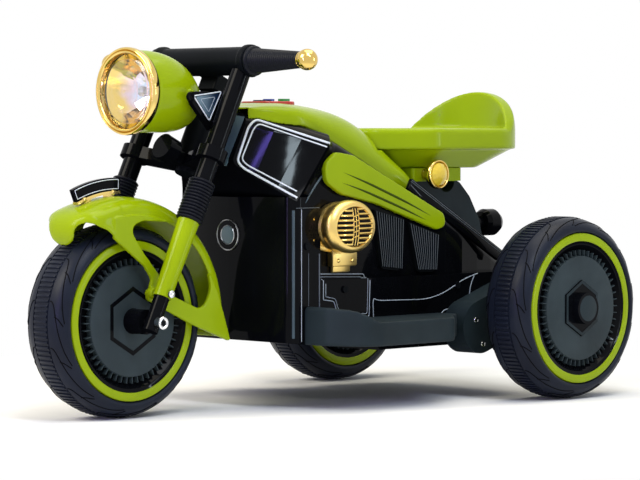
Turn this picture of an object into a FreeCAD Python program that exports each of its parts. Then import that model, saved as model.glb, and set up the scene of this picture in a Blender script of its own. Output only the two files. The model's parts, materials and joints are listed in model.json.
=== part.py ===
"""Children's electric motorbike on three wheels, as a parametric document in millimetres.

X points to the rider's left, Y to the rear and Z up. The origin is on the ground, midway between the axles.
"""

import FreeCAD
import Part
import math
import os
import re
import Sketcher
from FreeCAD import Placement, Rotation, Vector

DIMENSIONS = (
    # overall layout
    ("wheelbase", 547, "front axle to rear axle"),
    ("tyre_radius", 110, "tread radius of every tyre"),
    ("track_out", 97.6, "middle of a rear wheel beyond the side of the lower body"),
    ("rake", 25.8, "fork lean from upright, degrees"),
    ("fork_offset", 27.2, "fork line ahead of the steering axis"),
    ("fork_half", 65, "fork tube from the centre line"),
    ("play", 0.1, "clearance between pieces that are fixed together"),
    ("run_play", 0.05, "running clearance on a shaft"),
    # wheels
    ("tyre_width", 67, "widest tyre section"),
    ("tyre_height", 18.6, "tyre section from its bore to the tread"),
    ("bulge_rise", 4, "bead to the widest place of the tyre wall"),
    ("shoulder_round", 11, "rounding of the tyre shoulder"),
    ("crown_drop", 6, "fall of the tread from its middle to the shoulder"),
    ("tread_half", 10, "half width of the level middle of the tread"),
    ("face_half", 32.5, "ring face from the middle of the wheel"),
    ("ring_edge", 31, "inner edge of the coloured ring inside the tread"),
    ("ring_depth", 4, "thickness of the coloured ring"),
    ("disc_edge", 49.5, "edge of the raised hub disc inside the tread"),
    ("disc_drop", 1.5, "raised disc behind the ring face"),
    ("recess_depth", 11, "floor of the finned recess behind the ring face"),
    ("hub_boss_radius", 14, "boss round the axle"),
    ("hex_radius", 34, "hexagon on the hub, centre to corner"),
    ("hex_groove", 5, "width of the hexagon groove"),
    ("hex_depth", 2.5, "depth of the groove, height of the raised hexagon"),
    ("cap_radius", 19, "round cap on a rear hub"),
    ("cap_reach", 11, "cap beyond the ring face"),
    ("front_axle_radius", 4, ""),
    ("rear_axle_radius", 5, ""),
    ("axle_head_radius", 6.5, "bright head on the front axle"),
    ("axle_head_depth", 5, ""),
    ("wheel_gap", 1, "running gap between a hub boss and what is beside it"),
    # fork, in distances along the fork above the axle
    ("tube_radius", 11.5, "upper fork tube"),
    ("slider_radius", 9, "lower fork tube inside leg and gaiter"),
    ("leg_radius", 12.5, "coloured fork leg"),
    ("shoe_end", 11, "tube below the axle"),
    ("leg_low", 30.5, ""),
    ("leg_top", 124, ""),
    ("gaiter_top", 174, ""),
    ("gaiter_root", 13.4, "gaiter radius between ribs"),
    ("gaiter_peak", 15.6, "gaiter radius on a rib"),
    ("gaiter_ribs", 13, "number of ribs"),
    ("tube_top", 311, ""),
    ("yoke_low", 200, ""),
    ("yoke_depth", 14, ""),
    ("yoke_boss", 17, "radius of the yoke round tube and stem"),
    ("stem_radius", 8, ""),
    ("head_radius", 18, "steering head tube"),
    ("head_top", 293, ""),
    ("bush_radius", 12, ""),
    ("bush_depth", 12, ""),
    ("stem_head", 6, "thickness of the stem's bolt head"),
    ("stem_top", 320, ""),
    ("head_back", 22, "front face of the tank behind the steering axis"),
    ("horn_disc_radius", 15, "round boss on the front of the yoke"),
    ("nose_reach", 20, "front of that boss ahead of the fork line"),
    ("nose_depth", 17, ""),
    ("nose_sink", 6, "lower edge of that boss below the yoke"),
    # handlebar
    ("bar_up", 326, "bar centre above the axle, along the fork"),
    ("bar_radius", 7, ""),
    ("bar_half", 164, "half length of the bar"),
    ("cover_radius", 16.5, "cross cover"),
    ("cover_half", 78, ""),
    ("collar_radius", 19, ""),
    ("collar_width", 9, ""),
    ("grip_inner_radius", 14.5, ""),
    ("grip_outer_radius", 9.6, ""),
    ("grip_end", 157, ""),
    ("ball_radius", 12.2, "bar end"),
    ("clamp_half", 14, "clamp block between bar and stem"),
    # headlight
    ("lamp_height", 368.5, "lamp axis above the ground"),
    ("lamp_front", -260, "front of the bezel"),
    ("bezel_radius", 50, ""),
    ("bezel_inner", 42.5, ""),
    ("bezel_depth", 14, ""),
    ("bucket_radius", 47, ""),
    ("bucket_depth", 89, ""),
    ("bucket_wall", 2.5, ""),
    ("lens_depth", 3, ""),
    ("ear_in", 46, "inner face of the lamp ear"),
    ("ear_depth", 7, ""),
    ("ear_boss", 7, "radius of the ear's pivot"),
    ("ear_share", 0.555, "pivot along the bucket"),
    # front mudguard
    ("guard_rise", 30, "mudguard on the centre line beyond the tread"),
    ("guard_lap", 8, "side edge of the mudguard beyond the tread"),
    ("guard_half", 42, "half width"),
    ("guard_wall", 3, ""),
    ("guard_front", 123, "front end, degrees from level rearward"),
    ("tongue_low", 205, "height of the front end on the centre line"),
    ("tongue_high", 232, "height of the front end at its sides"),
    ("tongue_back", 40, "the front end's trim stops this far ahead of the axle"),
    ("bill_half", 19, "half width of the curl at the front end"),
    ("bill_low", 194, "lower end of the curl"),
    ("bill_high", 222, "height at which the curl is widest"),
    ("guard_rear", -10, "rear end, degrees from level rearward"),
    ("stay_in", 40, "inner face of a stay"),
    ("stay_depth", 5, ""),
    ("stay_boss", 6.5, ""),
    ("stay_up", 35, "stay screw above the axle, along the fork"),
    ("screw_radius", 2, ""),
    ("screw_head", 4.2, "radius of a screw head"),
    ("screw_head_depth", 2.2, ""),
    ("plate_rise", 36, "plate's lower edge beyond the tread"),
    ("plate_height", 15, ""),
    ("plate_front", 113.5, "degrees"),
    ("plate_rear", 87.5, "degrees"),
    ("plate_depth", 5, ""),
    ("rail_rise", 32.6, "gold rail under the plate, beyond the tread"),
    ("rail_depth", 8, ""),
    # body
    ("wall", 3, "shell wall"),
    ("tub_half", 98, "half width of the lower body"),
    ("tub_front", -86, ""),
    ("tub_bow", 15, "bow of the lower body's front"),
    ("tub_bow_round", 400, ""),
    ("body_rear", 315, ""),
    ("tub_top", 150, ""),
    ("tub_floor", 64, ""),
    ("tub_lip", 80, "height of the front lower edge"),
    ("tub_rise", 54, "where the floor starts to rise to the front edge"),
    ("column_rear", -42, "back of the front column"),
    ("column_top", 247, ""),
    ("tank_step", 10, "side of tank and engine inside the side of the lower body"),
    ("tank_round", 16, "rounding of the tank's upper edge"),
    ("nose_half", 45, "half width of the tank's front face"),
    ("nose_low", 287, ""),
    ("nose_high", 345, ""),
    ("shoulder_back", -35, "bend of the tank's upper edge"),
    ("shoulder_high", 329.4, ""),
    ("shoulder_reach", 36, "half length of that bend"),
    ("rail_end_high", 164, ""),
    ("tail_half", 66, "half width of the body at the rear end"),
    ("taper_start", 184, ""),
    ("ridge_low_y", -82, "foot of the leaning ridge where the tank's nose is widest"),
    ("ridge_low_z", 240, ""),
    ("ridge_lean", 0.797, "ridge's run to the rear for each millimetre of rise"),
    ("ridge_half", 97.5, "half width on the ridge"),
    ("ridge_fade", 25, "behind the ridge the tank falls to its plain width in this length"),
    # tank cover
    ("cover_front", -106, ""),
    ("cover_rear", 150, ""),
    ("cover_wall", 3, ""),
    ("cover_crown", 357, "highest place of the cover"),
    ("leg_in", 38, "inner face of the cover's two legs"),
    # control panel
    ("panel_half", 26, ""),
    ("panel_front", -60, ""),
    ("panel_rear", -4, ""),
    ("panel_top", 358.5, ""),
    ("panel_depth", 10, ""),
    ("button_radius", 7, ""),
    ("button_proud", 3, ""),
    ("button_travel", 2, ""),
    ("rocker_length", 20, ""),
    ("rocker_width", 13, ""),
    ("rocker_tilt", 10, "degrees each way"),
    ("rocker_pin", 1.5, ""),
    # seat
    ("seat_half", 88, ""),
    ("seat_front", 90, ""),
    ("seat_nose", 48, "half width of the seat's front end"),
    ("seat_flare", 170, "where the seat reaches its full width"),
    ("seat_rear", 362, ""),
    ("seat_low", 301, ""),
    ("seat_top", 327, ""),
    ("seat_round", 80, "corner radius at the rear"),
    ("seat_front_round", 22, ""),
    ("seat_lip", 373, "top of the back lip"),
    ("seat_scoop", 122, "radius of the lip's hollow front"),
    ("seat_pan_low", 278, ""),
    ("bracket_half", 62, ""),
    ("bracket_front", 154, ""),
    ("bracket_rear", 242, ""),
    ("bracket_low", 262, ""),
    ("tail_bracket_half", 45, ""),
    ("notch_radius", 15, ""),
    ("tail_lamp_high", 207, ""),
    ("tail_lamp_radius", 17, ""),
    ("tail_neck_radius", 8, ""),
    ("tail_lamp_end", 377, ""),
    # side furniture
    ("trim_depth", 8, ""),
    ("pad_depth", 4, ""),
    ("horn_y", -4, ""),
    ("horn_z", 211, ""),
    ("horn_long", 36.5, ""),
    ("horn_tall", 28.5, ""),
    ("horn_depth", 31, ""),
    ("turn_light_y", 175, ""),
    ("turn_light_z", 271, ""),
    ("turn_light_radius", 18, ""),
    ("turn_light_lens", 14.5, ""),
    ("turn_light_depth", 26, ""),
    # footboards and pedal
    ("board_width", 82, "footboard beyond the side of the lower body"),
    ("board_low", 76, ""),
    ("board_top", 104, ""),
    ("board_rear", 162, ""),
    ("board_lip", 122, "top of the raised front lip"),
    ("pedal_hinge_y", 86, ""),
    ("pedal_hinge_z", 112, ""),
    ("pedal_length", 66, ""),
    ("pedal_gap", 20, "pedal from the side of the lower body"),
    ("pedal_width", 44, ""),
    ("pedal_depth", 5, ""),
    ("pedal_angle", 8, "degrees of travel"),
    ("pedal_pin", 2.5, ""),
    ("lug_depth", 6, ""),
    # drive
    ("gear_module", 1.25, ""),
    ("pinion_teeth", 13, ""),
    ("idler_teeth", 35, ""),
    ("output_teeth", 40, ""),
    ("gear_width", 20, ""),
    ("train_slope", 18.1, "gear train rises to the axle, degrees"),
    ("case_radius", 32, ""),
    ("case_wall", 3, ""),
    ("case_depth", 17, ""),
    ("lid_depth", 16.5, ""),
    ("idler_pin", 4, ""),
    ("output_boss", 12, ""),
    ("motor_radius", 14, ""),
    ("motor_length", 38, ""),
    ("shaft_radius", 2.5, ""),
    ("battery_width", 90, ""),
    ("battery_length", 100, ""),
    ("battery_height", 47, ""),
    ("battery_front", 69, ""),
    ("socket_radius", 8, "charging socket body"),
    ("socket_bore", 2.8, ""),
    ("socket_depth", 14, ""),
    ("socket_y", 144, ""),
    ("socket_z", 128, ""),
)
NAMES = {alias for alias, amount, meaning in DIMENSIONS}
WORD = re.compile(r"[A-Za-z_]\w*")

doc = FreeCAD.newDocument("ride_on_motorbike")
sheet = doc.addObject("Spreadsheet::Sheet", "Sizes")
for row, (alias, amount, meaning) in enumerate(DIMENSIONS, start=1):
    sheet.set(f"A{row}", meaning)
    sheet.set(f"B{row}", str(amount))
    sheet.setAlias(f"B{row}", alias)
doc.recompute()

ACROSS = Rotation(Vector(0, 1, 0), 90)
REARWARD = Rotation(Vector(1, 0, 0), -90)
UPRIGHT = Rotation()
NODES = []


# bound sizes


def bound(text):
    """An expression for setExpression, with each size's name led by its sheet."""
    def led(word):
        return f"Sizes.{word.group()}" if word.group() in NAMES else word.group()

    return WORD.sub(led, str(text))


def size(text):
    """The present value of an expression in the sheet's names."""
    return float(sheet.evalExpression(bound(text)))


def steered(x, back, up):
    """Place of a point given across, behind the steering axis, and up along it from the axle's level."""
    y = f"-wheelbase/2 + (fork_offset + ({back}))*cos(rake) + ({up})*sin(rake)"
    z = f"tyre_radius - (fork_offset + ({back}))*sin(rake) + ({up})*cos(rake)"
    return (x, y, z)


def steered_point(x, back, up):
    return Vector(*(size(text) for text in steered(x, back, up)))


def steering_frame():
    return Placement(steered_point("0", "0", "0"), Rotation(Vector(1, 0, 0), -size("rake")))


# document objects


def node(thing, label):
    thing.Label = label
    NODES.append(thing)
    return thing


def put(thing, at, turn=UPRIGHT):
    """Binds the place of an object; turn is a fixed rotation, or "fork" for the fork's lean."""
    if turn == "fork":
        thing.Placement = Placement(Vector(), Rotation(Vector(1, 0, 0), -size("rake")))
        thing.setExpression("Placement.Rotation.Angle", bound("-rake"))
    else:
        thing.Placement = Placement(Vector(), turn)
    for letter, text in zip("xyz", at):
        thing.setExpression(f"Placement.Base.{letter}", bound(text))
    return thing


def cylinder(name, radius, length, at, turn=UPRIGHT):
    made = doc.addObject("Part::Cylinder", name)
    made.setExpression("Radius", bound(radius))
    made.setExpression("Height", bound(length))
    return put(made, at, turn)


def cone(name, low, high, length, at, turn=UPRIGHT):
    made = doc.addObject("Part::Cone", name)
    made.setExpression("Radius1", bound(low))
    made.setExpression("Radius2", bound(high))
    made.setExpression("Height", bound(length))
    return put(made, at, turn)


def sphere(name, radius, at):
    made = doc.addObject("Part::Sphere", name)
    made.setExpression("Radius", bound(radius))
    return put(made, at)


def block(name, lengths, at, turn=UPRIGHT):
    made = doc.addObject("Part::Box", name)
    for edge, text in zip(("Length", "Width", "Height"), lengths):
        made.setExpression(edge, bound(text))
    return put(made, at, turn)


def hexagon(name, radius, depth, at, turn):
    made = doc.addObject("Part::Prism", name)
    made.Polygon = 6
    made.setExpression("Circumradius", bound(radius))
    made.setExpression("Height", bound(depth))
    return put(made, at, turn)


def cut(name, base, *tools):
    for count, tool in enumerate(tools):
        made = doc.addObject("Part::Cut", f"{name}_cut{count}")
        made.Base = base
        made.Tool = tool
        base = made
    return base


def fuse(name, *items):
    made = doc.addObject("Part::MultiFuse", f"{name}_joined")
    made.Shapes = list(items)
    made.Refine = True
    return made


def mirrored(name, source):
    made = doc.addObject("Part::Mirroring", f"{name}_mirrored")
    made.Source = source
    made.Normal = Vector(1, 0, 0)
    return made


def group(name, *items):
    made = doc.addObject("Part::Compound", f"{name}_group")
    made.Links = list(items)
    return made


def both_sides(name, source):
    return group(name, source, mirrored(name, source))


def draw(sketch, corners):
    """A closed outline whose corners are each held by two bound distances from the sketch's origin."""
    spots = [Vector(size(across), size(along), 0) for across, along in corners]
    for first, second in zip(spots, spots[1:] + spots[:1]):
        sketch.addGeometry(Part.LineSegment(first, second))
    count = len(spots)
    for line in range(count):
        sketch.addConstraint(Sketcher.Constraint("Coincident", line, 2, (line + 1) % count, 1))
    for line, texts in enumerate(corners):
        for kind, text in zip(("DistanceX", "DistanceY"), texts):
            held = sketch.addConstraint(Sketcher.Constraint(kind, -1, 1, line, 1, size(text)))
            sketch.setExpression(f"Constraints[{held}]", bound(text))


def sketched_body(name, role, corners):
    body = doc.addObject("PartDesign::Body", f"{name}_body")
    sketch = body.newObject("Sketcher::SketchObject", f"{name}_outline")
    plane = next(item for item in body.Origin.OriginFeatures if item.Role == role)
    sketch.AttachmentSupport = [(plane, "")]
    sketch.MapMode = "FlatFace"
    draw(sketch, corners)
    return body, sketch


def turned(name, corners, at, turn):
    """A body of revolution: corners are (radius, distance along the axis)."""
    body, sketch = sketched_body(name, "XZ_Plane", corners)
    revolution = body.newObject("PartDesign::Revolution", f"{name}_turned")
    revolution.Profile = sketch
    revolution.ReferenceAxis = (sketch, ["V_Axis"])
    revolution.Angle = 360
    return put(body, at, turn)


def rounded_edges(body, name, radius, wanted):
    """Rounds the edges of a body that the test picks."""
    doc.recompute()
    tip = body.Tip
    picked = [f"Edge{count}" for count, edge in enumerate(tip.Shape.Edges, start=1) if wanted(edge)]
    fillet = body.newObject("PartDesign::Fillet", f"{name}_rounding")
    fillet.Base = (tip, picked)
    fillet.setExpression("Radius", bound(radius))
    return body


def feature(label, shape, placement=None):
    made = doc.addObject("Part::Feature", f"{label}_shape")
    made.Shape = shape
    if placement is not None:
        made.Placement = placement
    return node(made, label)


# shapes for pieces that are neither turned nor plain


def side_view(x):
    return lambda y, z: Vector(x, y, z)


def plan_view(z):
    return lambda x, y: Vector(x, y, z)


def outline(corners, lift):
    """A closed wire through (u, v, rounding) corners, with tangent arcs where the rounding isn't zero."""
    flat = [Vector(u, v, 0) for u, v, rounding in corners]
    stretches = []
    for place, (u, v, rounding) in enumerate(corners):
        before = flat[place - 1] - flat[place]
        after = flat[(place + 1) % len(flat)] - flat[place]
        opening = before.getAngle(after)
        setback = rounding / math.tan(opening / 2)
        start = flat[place] + before.normalize() * setback
        end = flat[place] + after.normalize() * setback
        middle = Vector()
        if rounding > 0:
            middle = (before + after).normalize() * (rounding / math.sin(opening / 2) - rounding)
        stretches.append((start, flat[place] + middle, end, rounding))
    edges = []
    for place, (start, middle, end, rounding) in enumerate(stretches):
        points = [lift(spot.x, spot.y) for spot in (start, middle, end)]
        if rounding > 0:
            edges.append(Part.Arc(*points).toShape())
        following = stretches[(place + 1) % len(stretches)][0]
        next_start = lift(following.x, following.y)
        if (next_start - points[2]).Length > 1e-6:
            edges.append(Part.LineSegment(points[2], next_start).toShape())
    return Part.Wire(edges)


def slab(corners, lift, along, inset=0):
    wire = outline(corners, lift)
    if inset > 0:
        wire = wire.makeOffset2D(-inset)
    return Part.Face(wire).extrude(along)


def side_slab(corners, low_x, high_x, inset=0):
    return slab(corners, side_view(low_x), Vector(high_x - low_x, 0, 0), inset)


def plan_slab(corners, low_z, high_z, inset=0):
    return slab(corners, plan_view(low_z), Vector(0, 0, high_z - low_z), inset)


def rod(radius, start, end):
    along = end - start
    return Part.makeCylinder(radius, along.Length, start, along)


def bar_across(radius, low_x, high_x, y, z):
    return rod(radius, Vector(low_x, y, z), Vector(high_x, y, z))


def mirror_x(shape):
    return shape.mirror(Vector(), Vector(1, 0, 0))


def pair(shape):
    return Part.makeCompound([shape, mirror_x(shape)])


# wheels


def make_tyre(label, at):
    wall_start = "(tyre_radius - tyre_height)"
    widest = "(tyre_radius - tyre_height) + bulge_rise"
    corners = (
        (wall_start, "-face_half"),
        (widest, "-tyre_width/2"),
        ("tyre_radius - crown_drop", "-tyre_width/2"),
        ("tyre_radius", "-tread_half"),
        ("tyre_radius", "tread_half"),
        ("tyre_radius - crown_drop", "tyre_width/2"),
        (widest, "tyre_width/2"),
        (wall_start, "face_half"),
    )
    body = turned(label, corners, at, ACROSS)
    shoulder = size("tyre_radius - crown_drop")
    rounded_edges(body, label, "shoulder_round", lambda edge: on_circle(edge, shoulder))
    return node(body, label)


def on_circle(edge, radius):
    return edge.Curve.TypeId == "Part::GeomCircle" and abs(edge.Curve.Radius - radius) < 0.01


def make_rings(label, at):
    def ring(name, low, high):
        corners = (
            ("(tyre_radius - ring_edge)", low),
            ("(tyre_radius - tyre_height) - play", low),
            ("(tyre_radius - tyre_height) - play", high),
            ("(tyre_radius - ring_edge)", high),
        )
        return turned(name, corners, at, ACROSS)

    left = ring(f"{label}_left", "face_half - ring_depth", "face_half")
    right = ring(f"{label}_right", "-face_half", "ring_depth - face_half")
    return node(group(label, left, right), label)


def hub_side(sign):
    """Hub outline from the raised disc out to the seat of the tyre, on one face."""
    face = f"{sign}(face_half - disc_drop)"
    floor = f"{sign}(face_half - recess_depth)"
    seat = f"{sign}(face_half - ring_depth)"
    return [
        ("hub_boss_radius", face),
        ("(tyre_radius - disc_edge)", face),
        ("(tyre_radius - disc_edge)", floor),
        ("(tyre_radius - ring_edge)", floor),
        ("(tyre_radius - ring_edge)", seat),
        ("(tyre_radius - tyre_height) - play", seat),
    ]


def make_front_hub():
    at = ("0", "-wheelbase/2", "tyre_radius")
    reach = "(fork_half - slider_radius - wheel_gap)"
    bore = "front_axle_radius + run_play"
    corners = [(bore, f"-{reach}"), ("hub_boss_radius", f"-{reach}"), *hub_side("-")]
    corners += [*reversed(hub_side("")), ("hub_boss_radius", reach), (bore, reach)]
    base = turned("front_hub", corners, at, ACROSS)
    face = "face_half - disc_drop - hex_depth"
    grooves = []
    for side, start in (("left", face), ("right", "disc_drop - face_half")):
        spot = (start, at[1], at[2])
        wide = hexagon(f"front_hub_{side}_wide", "hex_radius + hex_groove", "hex_depth", spot, ACROSS)
        plug = hexagon(f"front_hub_{side}_plug", "hex_radius", "hex_depth", spot, ACROSS)
        grooves.append(cut(f"front_hub_{side}_groove", wide, plug))
    node(cut("front_hub", base, *grooves), "front_hub")


def make_rear_hub(side, outward):
    """outward is "" on the left wheel and "-" on the right, where the capped face points the other way."""
    driven = outward == ""
    inward = "-" if driven else ""
    at = (f"{outward}(tub_half + track_out)", "wheelbase/2", "tyre_radius")
    bore = "rear_axle_radius + run_play"
    blind = f"{outward}(face_half + cap_reach/2)"
    cap_end = f"{outward}(face_half + cap_reach)"
    disc, *inner_side = hub_side(inward)
    outer = hub_side(outward)
    outer[0] = ("cap_radius", outer[0][1])
    if driven:
        corners = [(bore, disc[1])]
    else:
        boss_end = f"{inward}((tub_half + track_out) - tub_half - case_depth - lid_depth - wheel_gap)"
        corners = [(bore, boss_end), ("hub_boss_radius", boss_end), disc]
    corners += [*inner_side, *reversed(outer)]
    corners += [("cap_radius", cap_end), ("0", cap_end), ("0", blind), (bore, blind)]
    base = turned(f"rear_{side}_hub", corners, at, ACROSS)
    face = "(tub_half + track_out) + face_half - disc_drop"
    start = face if driven else f"-({face}) - hex_depth"
    plate = hexagon(f"rear_{side}_hex", "hex_radius", "hex_depth", (start, at[1], at[2]), ACROSS)
    solid = fuse(f"rear_{side}_hub", base, plate)
    node(cut(f"rear_{side}_hub", solid, axle_room(side, bore, at, driven)), f"rear_{side}_hub")


def axle_room(side, bore, at, driven):
    """Blind hole for the rear axle, from the inner face of a rear wheel into its cap."""
    deep = "face_half + cap_reach/2"
    start = "(tub_half + track_out) - tub_half/2" if driven else f"-((tub_half + track_out) + {deep})"
    length = f"{deep} + tub_half/2"
    return cylinder(f"rear_{side}_bore", bore, length, (start, at[1], at[2]), ACROSS)


def make_wheels():
    front = ("0", "-wheelbase/2", "tyre_radius")
    make_tyre("front_tyre", front)
    make_rings("front_rings", front)
    make_front_hub()
    for side, outward in (("left", ""), ("right", "-")):
        at = (f"{outward}(tub_half + track_out)", "wheelbase/2", "tyre_radius")
        make_tyre(f"rear_{side}_tyre", at)
        make_rings(f"rear_{side}_rings", at)
        make_rear_hub(side, outward)


# fork, steering and handlebar


def make_fork():
    base = steered("fork_half", "-fork_offset", "0")
    tube_outline = (
        ("0", "-shoe_end"),
        ("slider_radius", "-shoe_end"),
        ("slider_radius", "gaiter_top + play"),
        ("tube_radius", "gaiter_top + play"),
        ("tube_radius", "tube_top"),
        ("0", "tube_top"),
    )
    tube = turned("fork_tube", tube_outline, base, "fork")
    axle = ("-fork_half*2", "-wheelbase/2", "tyre_radius")
    axle_hole = cylinder("fork_axle_hole", "front_axle_radius + play", "fork_half*4", axle, ACROSS)
    screw = steered("0", "-fork_offset", "stay_up")
    screw_hole = cylinder("fork_screw_hole", "screw_radius + play", "fork_half*2", screw, ACROSS)
    node(both_sides("fork_tubes", cut("fork_tube", tube, axle_hole, screw_hole)), "fork_tubes")
    leg_outline = (
        ("slider_radius + play", "leg_low"),
        ("leg_radius - 2", "leg_low"),
        ("leg_radius", "leg_top"),
        ("slider_radius + play", "leg_top"),
    )
    leg = turned("fork_leg", leg_outline, base, "fork")
    leg_hole = cylinder("leg_screw_hole", "screw_radius + play", "fork_half*2", screw, ACROSS)
    node(both_sides("fork_legs", cut("fork_leg", leg, leg_hole)), "fork_legs")
    feature("fork_gaiters", pair(gaiter()))
    rod_length = "2*(fork_half + leg_radius)"
    axle_start = ("-(fork_half + leg_radius)", axle[1], axle[2])
    shank = cylinder("front_axle_shank", "front_axle_radius", rod_length, axle_start, ACROSS)
    head_place = ("fork_half + leg_radius", axle[1], axle[2])
    head = cylinder("front_axle_head", "axle_head_radius", "axle_head_depth", head_place, ACROSS)
    washer_place = ("fork_half + slider_radius", axle[1], axle[2])
    washer_depth = "leg_radius - slider_radius"
    washer = cylinder("front_axle_collar", "axle_head_radius", washer_depth, washer_place, ACROSS)
    ends = fuse("front_axle_end", head, washer)
    node(fuse("front_axle", shank, ends, mirrored("front_axle_end", ends)), "front_axle")


def gaiter():
    """Ribbed sleeve on the left tube: each rib is four circles of a ruled loft."""
    start = size("leg_top + play")
    ribs = int(size("gaiter_ribs"))
    pitch = (size("gaiter_top") - start) / ribs
    low, high = size("gaiter_root"), size("gaiter_peak")
    rings = []
    for rib in range(ribs):
        for share, radius in ((0.0, low), (0.3, high), (0.6, high), (0.9, low)):
            rings.append((start + (rib + share) * pitch, radius))
    rings.append((start + ribs * pitch, low))
    wires = [Part.Wire(Part.makeCircle(radius, Vector(0, 0, up))) for up, radius in rings]
    sleeve = Part.makeLoft(wires, True, True)
    bore = Part.makeCylinder(size("slider_radius + play"), ribs * pitch, Vector(0, 0, start))
    sleeve = sleeve.cut(bore)
    frame = steering_frame()
    sleeve.Placement = frame * Placement(Vector(size("fork_half"), -size("fork_offset"), 0), Rotation())
    return sleeve


def make_steering():
    half, ahead = size("fork_half"), size("fork_offset")
    low, deep, boss = size("yoke_low"), size("yoke_depth"), size("yoke_boss")
    yoke = Part.makeCylinder(boss, deep, Vector(0, 0, low))
    for sign in (-1, 1):
        end, back, fore = sign * half, boss - 4, 4 - boss
        arm = [(0, back, 2), (end, back - ahead, 2), (end, fore - ahead, 2), (0, fore, 2)]
        yoke = yoke.fuse(Part.makeCylinder(boss, deep, Vector(sign * half, -ahead, low)))
        yoke = yoke.fuse(plan_slab(arm, low, low + deep))
    disc = size("horn_disc_radius")
    nose_front = -ahead - size("nose_reach")
    nose_back = nose_front + size("nose_depth")
    nose_up = low + disc - size("nose_sink")
    nose = rod(disc, Vector(0, nose_front, nose_up), Vector(0, nose_back, nose_up))
    neck = Part.makeBox(disc, -nose_back + 2, deep, Vector(-disc / 2, nose_back - 2, low))
    yoke = yoke.fuse([nose, neck]).removeSplitter()
    for sign in (-1, 1):
        place = Vector(sign * half, -ahead, low)
        yoke = yoke.cut(Part.makeCylinder(size("tube_radius + play"), deep, place))
    yoke = yoke.cut(Part.makeCylinder(size("stem_radius + play"), deep, Vector(0, 0, low)))
    feature("lower_yoke", yoke, steering_frame())

    stem_outline = (
        ("0", "yoke_low - stem_head"),
        ("stem_radius + 5", "yoke_low - stem_head"),
        ("stem_radius + 5", "yoke_low"),
        ("stem_radius", "yoke_low"),
        ("stem_radius", "stem_top"),
        ("0", "stem_top"),
    )
    node(turned("steering_stem", stem_outline, steered("0", "0", "0"), "fork"), "steering_stem")

    head_low = "yoke_low + yoke_depth + wheel_gap"
    bush_end = f"{head_low} + bush_depth"
    head_outline = (
        ("bush_radius + play", head_low),
        ("head_radius", head_low),
        ("head_radius", "head_top"),
        ("bush_radius + play", "head_top"),
        ("bush_radius + play", "head_top - bush_depth"),
        ("stem_radius + 1.5", "head_top - bush_depth"),
        ("stem_radius + 1.5", bush_end),
        ("bush_radius + play", bush_end),
    )
    tube = turned("head_tube", head_outline, steered("0", "0", "0"), "fork")
    web_size = ("head_radius*1.6", "head_back - bush_radius - 2", "(nose_high - nose_low)*0.8")
    web_at = steered("-head_radius*0.8", "bush_radius + 2", "(nose_low - tyre_radius)/cos(rake) + 36")
    web = block("head_web", web_size, web_at, "fork")
    node(fuse("steering_head", tube, web), "steering_head")
    bushes = []
    for name, start in (("low", head_low), ("high", "head_top - bush_depth")):
        bush_outline = (
            ("stem_radius + run_play", start),
            ("bush_radius", start),
            ("bush_radius", f"{start} + bush_depth"),
            ("stem_radius + run_play", f"{start} + bush_depth"),
        )
        bushes.append(turned(f"bush_{name}", bush_outline, steered("0", "0", "0"), "fork"))
    node(group("steering_bushes", *bushes), "steering_bushes")


def make_handlebar():
    middle = steered("0", "-fork_offset", "bar_up")
    bar_start = ("-bar_half", middle[1], middle[2])
    bar = cylinder("bar_tube", "bar_radius", "bar_half*2", bar_start, ACROSS)
    node(bar, "handlebar")
    cover_outline = (
        ("bar_radius + play", "-cover_half"),
        ("collar_radius", "-cover_half"),
        ("collar_radius", "collar_width - cover_half"),
        ("cover_radius", "collar_width - cover_half"),
        ("cover_radius", "cover_half - collar_width"),
        ("collar_radius", "cover_half - collar_width"),
        ("collar_radius", "cover_half"),
        ("bar_radius + play", "cover_half"),
    )
    cover = turned("bar_cover", cover_outline, middle, ACROSS)
    clamp_up = "head_top + wheel_gap*4"
    clamp_size = ("clamp_half*2", "fork_offset - 1", "bar_up - head_top - wheel_gap*4 - bar_radius - 1")
    clamp = block("bar_clamp", clamp_size, steered("-clamp_half", "12 - fork_offset", clamp_up), "fork")
    joined = fuse("bar_cover", cover, clamp)
    stem_hole = cylinder("clamp_hole", "stem_radius + play", "stem_top", steered("0", "0", "play"), "fork")
    tools = [stem_hole]
    for sign in ("", "-"):
        socket = steered(f"{sign}fork_half", "-fork_offset", "0")
        name = f"tube_socket{len(tools)}"
        tools.append(cylinder(name, "tube_radius + play", "tube_top + play", socket, "fork"))
    node(cut("bar_cover", joined, *tools), "bar_cover")
    grip_outline = (
        ("bar_radius + play", "cover_half + play"),
        ("grip_inner_radius + 3", "cover_half + play"),
        ("grip_inner_radius + 3", "cover_half + 5"),
        ("grip_inner_radius", "cover_half + 6"),
        ("grip_outer_radius", "grip_end"),
        ("bar_radius + play", "grip_end"),
    )
    node(both_sides("grips", turned("grip", grip_outline, middle, ACROSS)), "grips")
    ball_place = ("grip_end + ball_radius*0.75", middle[1], middle[2])
    ball = sphere("ball", "ball_radius", ball_place)
    skirt = cone("ball_skirt", "grip_outer_radius", "ball_radius*0.8", "ball_radius*0.4",
                 ("grip_end + play", middle[1], middle[2]), ACROSS)
    trim_at = ("grip_end + play - ball_radius*2", middle[1], middle[2])
    trim = cylinder("ball_trim", "ball_radius*2", "ball_radius*2", trim_at, ACROSS)
    hole_at = ("0", middle[1], middle[2])
    hole = cylinder("ball_hole", "bar_radius + play", "bar_half + play", hole_at, ACROSS)
    end = cut("bar_end", fuse("bar_end", ball, skirt), trim, hole)
    node(both_sides("bar_ends", end), "bar_ends")


# headlight


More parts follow.
